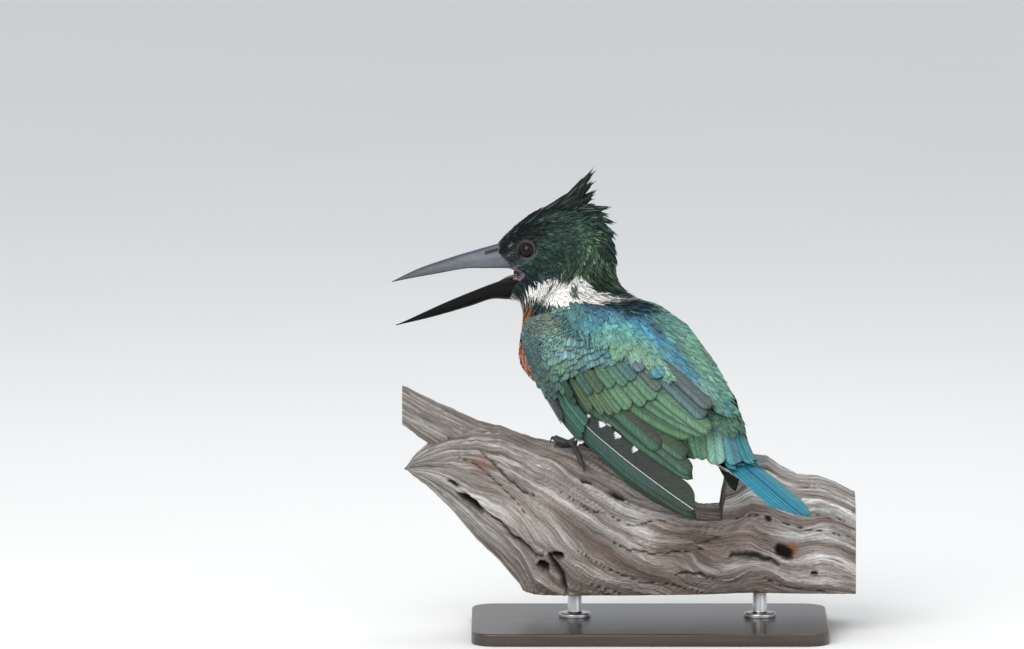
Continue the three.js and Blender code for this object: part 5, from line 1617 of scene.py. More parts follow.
def grain_across(x, arc):
    """Coordinate across the grain: the distance round the wood, less the grain's own course.

    The grain follows the length of the wood at both ends and dives down its near side between.
    """
    dive = 0.55 * (40.0 * ease(x, -70, 10) + 18.0 * ease(x, 0, 50))
    wander = 3.5 * scatter_noise(x, arc, 34, 22, 31) + 1.1 * scatter_noise(x, arc, 11, 9, 37)
    return arc - dive + wander


def wood_relief(x, phi):
    """Height and darkness of the wood at a place, its place across the grain, ribs and fibres."""
    arc = phi * WOOD_ARC
    across = grain_across(x, arc)
    ribs = scatter_noise(x, across, 46, 3.4, 41, 3)
    fine = scatter_noise(x, across, 30, 0.95, 47, 2)
    furrow = np.clip(np.abs(ribs) * -2.2 + 0.55, 0, 1)
    height = 0.62 * ribs - 0.95 * furrow + 0.30 * fine + 0.8 * scatter_noise(x, arc, 26, 18, 53)
    dark = 0.55 * furrow * ease(scatter_noise(x, across, 40, 20, 59), -0.2, 0.5)
    waver = 0.7 * scatter_noise(x, arc, 4, 9, 61)
    for half, depth, course in WOOD_CRACKS:
        course = np.array(course) * [1, WOOD_ARC]
        nearest = np.full(np.shape(x), 1e9)
        share = np.zeros(np.shape(x))
        for k, (start, end) in enumerate(zip(course[:-1], course[1:])):
            along = end - start
            t = np.clip(((x - start[0]) * along[0] + (arc - start[1]) * along[1]) / (along @ along), 0, 1)
            gap = np.hypot(x - start[0] - t * along[0], arc + waver - start[1] - t * along[1])
            share = np.where(gap < nearest, (k + t) / (len(course) - 1), share)
            nearest = np.minimum(nearest, gap)
        opening = half * (0.35 + 0.65 * np.sin(np.pi * np.clip(share, 0.04, 0.96)))
        cut = np.exp(-(nearest / opening) ** 2)
        height = height - depth * cut + 0.25 * np.exp(-((nearest - 2.2 * opening) / opening) ** 2)
        # Painted shade: each crack is also painted dark along its depth.
        dark = np.maximum(dark, cut)
    ragged = 1 + 0.16 * scatter_noise(x, arc, 2.5, 2.5, 67)
    for place, angle, long, wide, depth in WOOD_HOLES:
        away = np.hypot((x - place) / long, (arc - angle * WOOD_ARC) / wide)
        cut = 1 - ease(away * ragged, 0.62, 1.12)
        height = height - depth * cut
        # Painted shade: each hole is also painted dark inside.
        dark = np.maximum(dark, cut ** 0.7)
    for place, angle, long, wide, rise in WOOD_KNOBS:
        height = height + rise * bell(x, arc, place, angle * WOOD_ARC, long, wide)
    return height, dark, across, ribs, fine


def wood_colour(x, phi, z, dark, ribs, fine):
    """Grey weathered wood, paler on ridges and on top, brown in the hollows and where it broke."""
    arc = phi * WOOD_ARC
    colour = blend([0.33, 0.295, 0.265], [0.60, 0.57, 0.54], ease(ribs + 0.6 * fine, -0.1, 1.0))
    hollow = ease(-ribs + 0.4 * scatter_noise(x, arc, 30, 10, 71), 0.25, 1.1)
    colour = blend(colour, [0.15, 0.105, 0.08], 0.8 * hollow)
    # The top towards the right end is painted paler.
    paler_top_right = ease(x, 40, 92) * ease(phi, 80, 110)
    colour = blend(colour, colour * [1.36, 1.4, 1.46], paler_top_right)
    broken = ease(x, -8, 8) * (1 - ease(x, 62, 80)) * ease(phi, 146, 156) * (1 - ease(phi, 176, 186))
    colour = blend(colour, colour * [0.62, 0.50, 0.44], 0.75 * broken)
    colour = blend(colour, colour * [0.72, 0.66, 0.62], 0.8 * ease(-z, -62, -26))
    colour = blend(colour, [0.26, 0.105, 0.055], 0.65 * bell(x, phi, -95, 156, 8, 9))
    orange = np.clip(1.3 * bell(x, phi, 79.5, 177, 3.2, 3.4), 0, 0.9)
    colour = blend(colour, [0.38, 0.14, 0.045], orange)
    colour = colour * np.exp(0.16 * scatter_noise(x, arc, 16, 14, 73))[..., None]
    # Where it is dark the wood goes near black; in the cracks and holes this is painted shade.
    return blend(colour, [0.022, 0.015, 0.011], np.clip(dark * 1.05, 0, 1))


CUT_RINGS = 14  # rings across an end of the wood
SAWN_WOOD, BROKEN_WOOD = np.array([0.40, 0.30, 0.20]), np.array([0.30, 0.24, 0.20])


def end_rings(edge, heart_shift, sawn, outward_step):
    """Rings from the edge of an end of the wood in to its heart, with their tint and grain."""
    shrink = np.linspace(1, 0, CUT_RINGS + 1)[1:-1, None]
    heart = edge.mean(axis=0) + heart_shift
    rings = heart + (edge - heart) * shrink[..., None]
    if not sawn:
        rough = noise(rings * 0.35, 81) * 0.9 + noise(rings * 1.1, 83) * 0.4
        rings[..., 0] += (outward_step * 1.6 + rough) * (1 - shrink)
    radius = np.linalg.norm(rings - heart, axis=-1)
    growth = 0.5 + 0.5 * np.sin(radius * 2.6 + 1.5 * noise(rings * 0.12, 79))[..., None]
    tint = SAWN_WOOD * (0.82 + 0.3 * growth) if sawn else BROKEN_WOOD * (0.7 + 0.5 * growth)
    turn = np.arctan2(rings[..., 1] - heart[1], rings[..., 2] - heart[2])
    return rings, tint, np.stack([8 * np.sin(turn), 2.2 * radius], -1)


def wood_body(stations, rows, columns, sawn_start, sawn_end, clear):
    """Closed body of one length of wood: rings of points equally far apart, pushed out or in by
    the relief, flat below the sawn underside, and closed at both ends by rings to the middle."""
    surface = log_surface(stations)
    x = np.linspace(stations[0, 0], stations[-1, 0], rows)[:, None]
    ring = np.maximum(surface(x, RING_ANGLES), [-1e3, -1e3, PERCH_SAWN])
    step = np.linalg.norm(np.diff(ring, axis=1), axis=-1)
    run = np.concatenate([np.zeros((rows, 1)), np.cumsum(step + 0.02, axis=1)], axis=1)
    share = np.linspace(0, 1, columns, endpoint=False)
    phi = np.stack([np.interp(share, line / line[-1], RING_ANGLES) for line in run])
    x = x + 0 * phi
    height, dark, across, ribs, fine = wood_relief(x, phi)
    start, end = stations[[0, -1], 0]
    fade = np.minimum(ease(x, start, start + 3.0), 1 - ease(x, end - 0.8, end))
    points = surface(x, phi, (height - 0.35) * fade * clear(x, phi))
    limit = np.interp(x + 1.1 * noise(points * 0.3, 85), *np.array(NOTCH).T) + 0.8 * ribs + 0.5 * fine
    over = points[..., 2] - limit
    torn = ease(over, -1.5, 1.0)
    points[..., 2] -= NOTCH_SOFTNESS * np.log1p(np.exp(np.clip(over / NOTCH_SOFTNESS, -30, 30)))
    flat = points[..., 2] < PERCH_SAWN + 0.05
    points[..., 2] = np.maximum(points[..., 2], PERCH_SAWN)
    tint = wood_colour(x, phi, surface(x, phi)[..., 2], dark * fade, ribs, fine)
    tint = blend(tint, tint * [0.62, 0.55, 0.5], 0.7 * torn)
    tint = np.where(flat[..., None], SAWN_WOOD * (1 + 0.12 * fine[..., None]), tint)
    parts = zip(end_rings(points[0], [0.0, 1.5, -1.0], sawn_start, -1.0),
                (points, tint, np.stack([x, across], -1)),
                end_rings(points[-1], [0.0, 2.0, 3.0], sawn_end, 1.0))
    rings, tint, grain = (np.concatenate([first[::-1], middle, last]) for first, middle, last in parts)
    tint, grain = tint.reshape(-1, 3), grain.reshape(-1, 2)
    return (*closed_loft(rings), *(np.vstack([v, v[:1], v[-1:]]) for v in (tint, grain)))


def clear_of_feet(x, phi):
    """Share of the relief left where the toes grip, so that they neither sink in nor hang clear."""
    closeness = sum(bell(x, phi, foot["x"], foot["angle"], 12, 24) for foot in FEET.values())
    return 1 - 0.75 * np.clip(closeness, 0, 1)


def perch_piece(look):
    """The driftwood: the log, and the broken stub of a branch that grows out of its far end."""
    log = wood_body(LOG_STATIONS, 352, 220, False, True, clear_of_feet)
    stub = wood_body(STUB_STATIONS, 96, 84, True, False, lambda x, phi: 0.8 + 0 * x)
    add_piece("driftwood", joined(log[:2], stub[:2]), look, "perch",
              tint=np.vstack([log[2], stub[2]]), maps=[("grain", np.vstack([log[3], stub[3]]))])


# ------------------------------------------------------------------ legs and feet

FEET = {  # place of each foot along and round the wood, and the two ends of its leg
    "left": {"x": -43.5, "angle": 97, "ankle": [-38.5, 2, 110.5], "hip": [-30, -5, 122]},
    "right": {"x": -28, "angle": 72, "ankle": [-24, 19.5, 107], "hip": [-16, 11, 120]},
}
# Each toe: how far it reaches along the wood in mm and round it in degrees, and its radius.
TOES = [[-11, -16, 1.45], [-13, -6, 1.5], [-10.5, 9, 1.35], [7, 34, 1.4]]
THIGH_RADII = [2.2, 4.6, 7.5, 9, 8]  # from the ankle to the belly
SOLE_LIFT = 3.0  # the middle of a foot's pad is this far above the wood
CLAW_SHARE = 0.76  # part of a toe's length up to the root of its claw
TOE_ROWS, SHANK_ROWS, PAD_ROWS = 60, 40, 22


def tube_body(path, wide, deep, up, columns, scute=0.0, scutes=9):
    """Closed tube along a path with an oval section; `scute` raises plates across its upper side."""
    along = unit(np.gradient(path, axis=0))
    across = unit(np.cross(up, along))
    lifted = unit(np.cross(along, across))
    angle = circle(columns)
    share = np.linspace(0, 1, len(path))
    plates = scute * ((share * scutes) % 1.0 - 0.4)[:, None] * np.clip(np.sin(angle), 0, 1)
    rings = (path[:, None, :] + across[:, None, :] * (wide[:, None] * np.cos(angle))[..., None]
             + lifted[:, None, :] * ((deep[:, None] + plates) * np.sin(angle))[..., None])
    return closed_loft(rings)


def foot_bodies(foot):
    """Pad, four toes with plates across them, and four hooked claws."""
    skin_parts, claw_parts = [], []
    for travel, turn, radius in TOES:
        t = np.linspace(0, 1, TOE_ROWS)
        thick = radius * np.interp(t, [0, 0.2, 0.4, 0.6, 0.8, 0.9, 1], [1.2, 1.05, 1, 0.95, 0.72, 0.4, 0.1])
        knuckle = 1 + 0.10 * np.exp(-((t - 0.3) / 0.05) ** 2) + 0.10 * np.exp(-((t - 0.56) / 0.05) ** 2)
        arch = np.interp(t, [0, 0.6, 0.74, 0.84, 0.93, 1], [0, 0, 0.9, 1.2, 0.6, -0.9])
        forward = np.interp(t, [0, 0.8, 1], [0, 0.84, 0.95])
        course = foot["x"] + travel * forward, foot["angle"] + turn * forward
        path = LOG_SURFACE(*course, thick * 0.9 + 0.1 + arch)
        up = unit(LOG_SURFACE(*course, 1.0) - LOG_SURFACE(*course, 0.0))
        toe, claw = t <= CLAW_SHARE + 0.03, t >= CLAW_SHARE - 0.05
        wide = (thick * knuckle)[toe]
        skin_parts.append(tube_body(path[toe], wide, wide * 0.92, up[toe], 18, 0.22, 11))
        claw_parts.append(tube_body(path[claw], thick[claw] * 0.72, thick[claw] * 0.95, up[claw], 14))
    sole = under_foot(foot, SOLE_LIFT)
    shank = sole + (np.array(foot["ankle"]) - sole) * np.linspace(-0.25, 1.15, SHANK_ROWS)[:, None]
    size = np.interp(np.linspace(0, 1, SHANK_ROWS), [0, 0.15, 0.5, 1], [2.5, 2.2, 1.75, 2.0])
    skin_parts.append(tube_body(shank, size, size, -TRUNK_LEFT, 20, 0.2))
    lift = np.linspace(-1, 1, PAD_ROWS)
    girth = 3.1 * np.sqrt(np.clip(1 - lift ** 2, 0.003, 1))
    pad = sole + unit(under_foot(foot, 1.0) - under_foot(foot, 0.0)) * (lift * 2.1 - 0.7)[:, None]
    skin_parts.append(tube_body(pad, girth, girth * 0.95, unit(np.array([1.0, 0.0, -0.2])), 26))
    return joined(*skin_parts), joined(*claw_parts)


def foot_pieces(side, skin_look, claw_look):
    """Toes with the shank and pad, and the claws, of one foot."""
    skin, claws = foot_bodies(FEET[side])
    tint = np.array([0.034, 0.032, 0.036]) * (1 + 0.35 * noise(skin[0] * 1.6, 91))[:, None]
    add_piece(f"toes_{side}", skin, skin_look, f"foot_{side}", tint=tint)
    add_piece(f"claws_{side}", claws, claw_look, tint=[0.014, 0.013, 0.014])


def under_foot(foot, lift):
    """Point above the wood where a foot grips it."""
    return LOG_SURFACE(np.array(float(foot["x"])), np.array(float(foot["angle"])), lift)


def thigh_path(foot, t):
    start = (np.array(foot["ankle"]) + under_foot(foot, SOLE_LIFT)) / 2
    return start + (np.array(foot["hip"]) - start) * np.asarray(t, float)[..., None]


def thigh_surface(foot, inset=0.0):
    """Round limb from the ankle (t = 0) into the belly (t = 1)."""
    axis = unit(thigh_path(foot, np.array(1.0)) - thigh_path(foot, np.array(0.0)))
    across = unit(np.cross(axis, TRUNK_LEFT))
    other = np.cross(axis, across)

    def surface(t, angle, lift=0.0):
        radius = np.interp(t, np.linspace(0, 1, 5), THIGH_RADII) - inset + lift
        turn = np.radians(angle)
        return (thigh_path(foot, t) + across * (radius * np.cos(turn))[..., None]
                + other * (radius * np.sin(turn))[..., None])
    return surface


def thigh_feathers(side, look):
    """Fluffy white vanes round a thigh, hanging towards the toes."""
    bed = thigh_surface(FEET[side]), (0.02, 3.0), ((0.0, 1.0), (-180, 180))
    roots = scatter(bed, 1.7, 1.9, 0.35, ((0.15, 1.0), (-180, 180)))
    count = len(roots)
    base = vary(np.tile(WHITE * 0.92, (count, 1)), 0.06, 0.02)
    small_feathers(
        f"thigh_feathers_{side}", look, bed, roots, base, 180 + rng.normal(0, 10, count),
        np.interp(roots[:, 0], [0, 0.4, 1], [3.2, 5.0, 7.0]) * rng.uniform(0.8, 1.2, count),
        rng.uniform(1.5, 2.3, count), rng.uniform(0.3, 0.9, count), {"root": 0.75}, ragged=0.06,
        thickness=0.13, sunk=0.4)


# ------------------------------------------------------------------ the skin under the feathers

SKIN_VOXEL = 1.15 * MM
SKIN_INSET = ([0, 1, 2, 4, 6, 12, 14, 15], [0.8, 0.9, 1.1, 1.7, 2.4, 2.6, 1.8, 1.6])  # station, mm
WING_HOLLOW = 3.2  # the body lies this much deeper under a folded wing
PAD_DEPTH = (3.6, 2.0)  # depth of a wing's flesh under its feathers, at its lower edge and above


def body_core():
    """The body's loft drawn in by the depth of the coat, and cut off where the bill begins."""
    s = np.linspace(0.0, 15.0, 240)[:, None]
    phi = np.linspace(0, 360, 200, endpoint=False)[None, :]
    covered, _, _ = wing_cover(body_surface(s, phi))
    inset = np.interp(s, *SKIN_INSET) + WING_HOLLOW * ease(covered, 1.0, 9.0)
    rings = body_surface(s, phi, -inset)
    forward, _, up = to_head(rings)
    shift = np.minimum(face_edge(up) - 0.5 - forward, 0.0) * (s < 6)
    return closed_loft(rings + shift[..., None] * HEAD_FORWARD)


def wing_pad(side):
    """Flesh of a folded wing: a closed sheet between two depths under its feathers."""
    back = np.linspace(-47.5, 30, 90)[:, None]
    share = np.linspace(0, 1, 70)[None, :]
    low, high = read_off(WING_OUTLINE, back) + 4, read_off(WING_OUTLINE, back, 2) - 4
    angle = mix(low, np.maximum(high, low + 2), share)
    surface = wing_surface(side)
    depth = mix(*PAD_DEPTH, ease(share, 0.25, 0.45)) * ease(back, -52, -42)
    thick = np.interp(back, [-47, -40, 0, 30], [2.5, 5.0, 4.2, 1.2])
    top, bottom = surface(back, angle, -depth), surface(back, angle, -depth - thick)
    return closed_loft(np.concatenate([top, bottom[:, ::-1]], axis=1))


def thigh_core(foot):
    t = np.linspace(-0.05, 1.05, 40)[:, None]
    angle = np.linspace(0, 360, 40, endpoint=False)[None, :]
    return closed_loft(thigh_surface(foot, 1.1)(t, angle))


def tail_core():
    """Fleshy root of the tail: an oval tube from inside the rump to a blunt end."""
    t = np.linspace(0, 1, 30)[:, None]
    angle = circle(40)[None, :]
    radius = np.interp(t, [0, 0.7, 1], [8.0, 7.0, 2.5])
    return closed_loft(in_frame(
        TAIL_BASE, TAIL_AXES,
        (mix(-22.0, 10.0, t) + 0 * angle, radius * np.cos(angle), radius * 0.5 * np.sin(angle) - 3.2)))


SKIN_BATCH = 2000  # points that look for their nearest root at once


def nearest_colour(points):
    """Colour of the feather root that lies nearest to each point."""
    places, colours = (np.vstack(column) for column in zip(*SKIN_ROOTS))
    return np.vstack([
        colours[((places ** 2).sum(1) - 2 * points[start:start + SKIN_BATCH] @ places.T).argmin(axis=1)]
        for start in range(0, len(points), SKIN_BATCH)])


def skin_piece(look):
    """One skin for the whole bird: body, wings, thighs and tail root grown into one surface by a
    voxel remesh, smoothed, tinted like the feathers that stand on it, with the lids added."""
    thighs = [thigh_core(foot) for foot in FEET.values()]
    rough = add_mesh("skin_core", *joined(body_core(), wing_pad("left"), wing_pad("right"),
                                          tail_core(), *thighs))
    remesh = rough.modifiers.new("grow_together", "REMESH")
    remesh.mode = "VOXEL"
    remesh.voxel_size = SKIN_VOXEL
    smooth = rough.modifiers.new("smooth", "SMOOTH")
    smooth.factor = 0.5
    smooth.iterations = 4
    mesh = rough.evaluated_get(bpy.context.evaluated_depsgraph_get()).to_mesh()
    places = read_out(mesh.vertices, "co", 3, np.float32).reshape(-1, 3) / MM
    corners = read_out(mesh.loops, "vertex_index")
    totals, starts = (read_out(mesh.polygons, name) for name in ("loop_total", "loop_start"))
    grown = [corners[starts[totals == n][:, None] + np.arange(n)] for n in np.unique(totals)]
    bpy.data.objects.remove(rough)
    tint = nearest_colour(places) * 0.7
    bodies, tints = [(places, grown)], []
    for side in (1, -1):
        near = np.linalg.norm(places - eye_axes(side)[0], axis=1)
        tint = blend(tint, [0.05, 0.06, 0.055], 1 - ease(near, 6.5, 9.0))
        *lids, lid_tint = lid_body(side)
        bodies.append(lids)
        tints.append(lid_tint)
    add_piece("skin", joined(*bodies), look, "head", "crest", "neck", "trunk", "wing_left",
              "wing_right", "tail", "leg_left", "leg_right", tint=np.vstack([tint, *tints]))


# ------------------------------------------------------------------ display stand

# Measures of the stand in mm.
BASE = {"length": 200.0, "width": 120.0, "height": 7.0, "corner": 14.0, "edge": 1.2}
ROD = {"radius": 4.0, "y": 8.0, "collar": 9.0, "collar_height": 2.6, "bottom": 3.3, "top": 38.7}
ROD_PLACES = (-42.0, 62.0)


def base_piece(look):
    """Rounded slab: its outline of straight sides and arcs, carried over a rounded edge."""
    angles = np.concatenate([np.linspace(0, np.pi / 2, 17) + k * np.pi / 2 for k in range(4)])
    centre_x = np.repeat([1, -1, -1, 1], 17) * (BASE["length"] / 2 - BASE["corner"])
    centre_y = np.repeat([1, 1, -1, -1], 17) * (BASE["width"] / 2 - BASE["corner"])
    edge = BASE["edge"]
    rise = np.linspace(0, np.pi / 2, 7)
    inset = np.concatenate([
        [40, edge], edge * (1 - np.sin(rise)), edge * (1 - np.cos(rise)), [edge + 0.6, 40]])
    level = np.concatenate([[0, 0], edge * (1 - np.cos(rise)),
                            BASE["height"] - edge * (1 - np.sin(rise)), [BASE["height"]] * 2])
    radius = BASE["corner"] - inset[:, None]
    shrink, radius = np.minimum(radius, 0.0), np.maximum(radius, 0.5)
    x = centre_x + np.sign(centre_x) * shrink + radius * np.cos(angles)
    y = centre_y + np.sign(centre_y) * shrink + radius * np.sin(angles)
    slab = closed_loft(np.stack([x, y, level[:, None] + 0 * x], -1))
    add_piece("stand_base_slab", slab, look, "stand_base")


def rod_piece(number, x, look):
    """Turned rod with a collar: a profile of radius and height carried round its axis."""
    thin, collar = ROD["radius"], ROD["collar"]
    seat = BASE["height"] + 0.02
    high = seat + ROD["collar_height"]
    bend = np.linspace(0, np.pi / 2, 7)
    rise, fall = np.sin(bend), 1 - np.cos(bend)
    profile = np.vstack([
        [[thin, ROD["bottom"]], [thin, seat], [collar - 0.3, seat]],
        np.stack([collar - 0.3 + 0.3 * rise[1:], seat + 0.3 * fall[1:]], -1),
        np.stack([collar - 0.9 * fall, high - 0.9 + 0.9 * rise], -1),
        np.stack([thin + 0.9 * (1 - rise), high + 0.9 * fall], -1),
        [[thin, ROD["top"] - 0.4], [thin - 0.4, ROD["top"]]],
    ])
    turn = circle(64)
    radius, level = profile[:, :1], profile[:, 1:]
    rod = closed_loft(np.stack([x + radius * np.cos(turn), ROD["y"] + radius * np.sin(turn),
                                level + 0 * turn], -1))
    add_piece(f"stand_rod_turned_{number}", rod, look, f"stand_rod_{number}")


# ------------------------------------------------------------------ materials

BARB_SLANT = 0.9  # mm along the shaft that a barb runs forward for each mm out
MIX_SHARE, MIX_FIRST, MIX_SECOND, MIX_RESULT = 0, 6, 7, 2  # the mix node's sockets for colours


def feed(tree, socket, value):
    """Links an output to a socket, or gives the socket a constant."""
    if isinstance(value, bpy.types.NodeSocket):
        tree.links.new(value, socket)
    else:
        socket.default_value = value


def add_node(tree, kind, inputs=None, **settings):
    """New shader node with its settings; `inputs` feeds its inputs, by name or number."""
    node = tree.nodes.new("ShaderNode" + kind)
    for name, value in settings.items():
        setattr(node, name, value)
    for name, value in (inputs or {}).items():
        feed(tree, node.inputs[name], value)
    return node


def calculate(tree, operation, *inputs):
    """Math node over numbers or sockets."""
    return add_node(tree, "Math", dict(enumerate(inputs)), operation=operation).outputs[0]


def weighted(tree, constant, *terms):
    """A constant plus the sum of (socket, weight) terms."""
    total = constant
    for socket, weight in terms:
        total = calculate(tree, "MULTIPLY_ADD", socket, weight, total)
    return total


def remap(tree, value, low, high, to_low=0.0, to_high=1.0):
    """Smooth step of a value from one span of numbers to another."""
    spans = {"Value": value, "From Min": low, "From Max": high, "To Min": to_low, "To Max": to_high}
    return add_node(tree, "MapRange", spans, interpolation_type="SMOOTHSTEP").outputs["Result"]


def blend_colours(tree, share, first, second, blend_type="MIX"):
    """Mix node over two colours, each a socket or three numbers."""
    first, second = ((*c, 1.0) if isinstance(c, tuple) else c for c in (first, second))
    inputs = {MIX_SHARE: share, MIX_FIRST: first, MIX_SECOND: second}
    return add_node(tree, "Mix", inputs, data_type="RGBA", blend_type=blend_type).outputs[MIX_RESULT]


def noise_value(tree, vector, scale, detail=2.0, roughness=0.5, distortion=0.0):
    inputs = {"Vector": vector, "Scale": scale, "Detail": detail, "Roughness": roughness,
              "Distortion": distortion}
    return add_node(tree, "TexNoise", inputs).outputs["Fac"]


def stretched(tree, vector, scale):
    """A place with each of its axes scaled."""
    return add_node(tree, "Mapping", {"Vector": vector, "Scale": scale}).outputs[0]


def object_place(tree):
    return add_node(tree, "TexCoord").outputs["Object"]


def map_place(tree, name):
    return add_node(tree, "UVMap", uv_map=name).outputs["UV"]


def shaded_tint(tree, level):
    """The tint of a piece times a brightness."""
    tint = add_node(tree, "Attribute", attribute_name="tint").outputs["Color"]
    grey = add_node(tree, "CombineColor", {0: level, 1: level, 2: level}).outputs[0]
    return blend_colours(tree, 1.0, tint, grey, "MULTIPLY")


def new_group(name, inputs, outputs):
    """Node group with (name, kind of socket) inputs and number outputs."""
    group = bpy.data.node_groups.new(name, "ShaderNodeTree")
    for label, kind in inputs:
        group.interface.new_socket(label, in_out="INPUT", socket_type="NodeSocket" + kind)
    for label in outputs:
        group.interface.new_socket(label, in_out="OUTPUT", socket_type="NodeSocketFloat")
    return group, group.nodes.new("NodeGroupInput").outputs, group.nodes.new("NodeGroupOutput").inputs


def barb_group():
    """Barbs of a vane: streaks that slant forward from the shaft, fine ridges, and the shaft."""
    group, source, sink = new_group(
        "barbs", [("Vane", "Vector"), ("Object", "Vector"), ("Spacing", "Float")],
        ("Streak", "Ridge", "Shaft"))
    side, along, _ = add_node(group, "SeparateXYZ", {0: source["Vane"]}).outputs
    aside = calculate(group, "ABSOLUTE", side)
    across = calculate(group, "DIVIDE", weighted(group, along, (aside, -BARB_SLANT)), source["Spacing"])
    x, _, z = add_node(group, "SeparateXYZ", {0: source["Object"]}).outputs
    drift = calculate(group, "MULTIPLY", calculate(group, "ADD", x, z), 90.0)
    layers = []
    for across_scale, side_scale, detail, roughness in ((1.0, 0.22, 3.0, 0.6), (3.4, 0.3, 1.0, 0.5)):
        place = add_node(group, "CombineXYZ", {
            0: calculate(group, "MULTIPLY", across, across_scale),
            1: calculate(group, "MULTIPLY", side, side_scale), 2: drift}).outputs[0]
        layers.append(noise_value(group, place, 1.0, detail, roughness))
    broad, narrow = layers
    streak = weighted(group, 0.0, (broad, 0.68), (narrow, 0.32))
    feed(group, sink["Streak"], remap(group, streak, 0.32, 0.68))
    feed(group, sink["Ridge"], narrow)
    feed(group, sink["Shaft"], remap(group, aside, 0.10, 0.22, 1.0, 0.0))
    return group


def speckle_group():
    """Two sizes of soft mottling over the object, for bare skin, horn and painted surfaces."""
    group, source, sink = new_group(
        "mottling", [("Object", "Vector"), ("Scale", "Float")], ("Coarse", "Fine"))
    for label, factor in (("Coarse", 0.22), ("Fine", 1.0)):
        scale = calculate(group, "MULTIPLY", source["Scale"], factor)
        feed(group, sink[label], noise_value(group, source["Object"], scale))
    return group


def mottled(tree, mottling, scale):
    """Outputs of the mottling over a material's object."""
    inputs = {"Object": object_place(tree), "Scale": scale}
    return add_node(tree, "Group", inputs, node_tree=mottling).outputs


def new_material(name, roughness, specular=0.5, **constants):
    """Material with a Principled shader whose constants are set on its own sockets."""
    material = bpy.data.materials.new(name)
    material.use_nodes = True
    shader = material.node_tree.nodes["Principled BSDF"]
    constants = {"Roughness": roughness, "Specular_IOR_Level": specular, **constants}
    for label, value in constants.items():
        shader.inputs[label.replace("_", " ")].default_value = value
    return material, material.node_tree, shader


def dress(tree, shader, colour, bump=None, gloss=None):
    """Links a shader's colour, its bump (height, strength, distance in m) and its roughness."""
    feed(tree, shader.inputs["Base Color"], colour)
    if bump is not None:
        node = add_node(tree, "Bump", dict(zip(("Height", "Strength", "Distance"), bump)))
        feed(tree, shader.inputs["Normal"], node.outputs["Normal"])
    if gloss is not None:
        feed(tree, shader.inputs["Roughness"], gloss)


def feather_material(name, barbs, roughness, dark, light, shaft_colour, shaft_share, spacing=0.8,
                     sheen=0.03, sheen_tint=(0.4, 0.9, 0.9), specular=0.2, bump=0.5, richness=1.05):
    """Feather: its tint, streaked by the barbs between `dark` and `light` times its brightness."""
    material, tree, shader = new_material(name, roughness, specular, Sheen_Weight=sheen,
                                          Sheen_Roughness=0.45, Sheen_Tint=(*sheen_tint, 1.0))
    barbs = add_node(tree, "Group", {"Vane": map_place(tree, "vane"), "Object": object_place(tree),
                                     "Spacing": spacing}, node_tree=barbs).outputs
    level = weighted(tree, dark, (barbs["Streak"], light - dark))
    share = calculate(tree, "MULTIPLY", barbs["Shaft"], shaft_share)
    colour = blend_colours(tree, share, shaded_tint(tree, level), shaft_colour)
    rich = add_node(tree, "HueSaturation", {"Saturation": richness, "Color": colour})
    dress(tree, shader, rich.outputs["Color"], (barbs["Ridge"], bump, 0.00018),
          weighted(tree, roughness - 0.12, (barbs["Ridge"], 0.25)))
    return material


def soft_material(name, mottling, scale, swing, bump, roughness, specular, **constants):
    """Bare or moist skin: its tint, made lighter and darker by mottling, with fine bumps."""
    material, tree, shader = new_material(name, roughness, specular, **constants)
    mottle = mottled(tree, mottling, scale)
    level = weighted(tree, 1 - swing / 2, (mottle["Coarse"], swing))
    dress(tree, shader, shaded_tint(tree, level), (mottle["Fine"], bump, 0.00015))
    return material


def bill_material(name, specular):
    """Horn: fine lengthwise streaks and scratches, a satin gloss that varies along them."""
    material, tree, shader = new_material(name, 0.36, specular, Coat_Weight=specular / 5,
                                          Coat_Roughness=0.3)
    grain = stretched(tree, map_place(tree, "grain"), (0.09, 1.6, 1.0))
    streak = noise_value(tree, grain, 1.0, 4.0, 0.62)
    mottle = noise_value(tree, object_place(tree), 420.0, 3.0)
    level = weighted(tree, 0.38, (streak, 0.9), (mottle, 0.35))
    dress(tree, shader, shaded_tint(tree, level), (streak, 0.25, 0.0001),
          weighted(tree, 0.2, (mottle, 0.3)))
    return material


def eye_material():
    """Wet eye: dark iris from the tint with a faint cloud in it, under a clear glossy coat."""
    material, tree, shader = new_material("wet_eye", 0.1, 0.02, Coat_Weight=0.42, Coat_Roughness=0.02)
    cloudy = noise_value(tree, object_place(tree), 900.0, 2.0)
    dress(tree, shader, shaded_tint(tree, weighted(tree, 0.75, (cloudy, 0.5))))
    return material


def foot_material(mottling, name, roughness, scale):
    """Scaly or horny dark skin, paler on its worn plates."""
    material, tree, shader = new_material(name, roughness)
    cells = add_node(tree, "TexVoronoi", {"Scale": scale, "Vector": object_place(tree)})
    distance = cells.outputs["Distance"]
    coarse = mottled(tree, mottling, 1500.0)["Coarse"]
    level = weighted(tree, 0.45, (coarse, 0.9), (distance, 0.5))
    dress(tree, shader, shaded_tint(tree, level), (distance, 0.5, 0.0002))
    return material


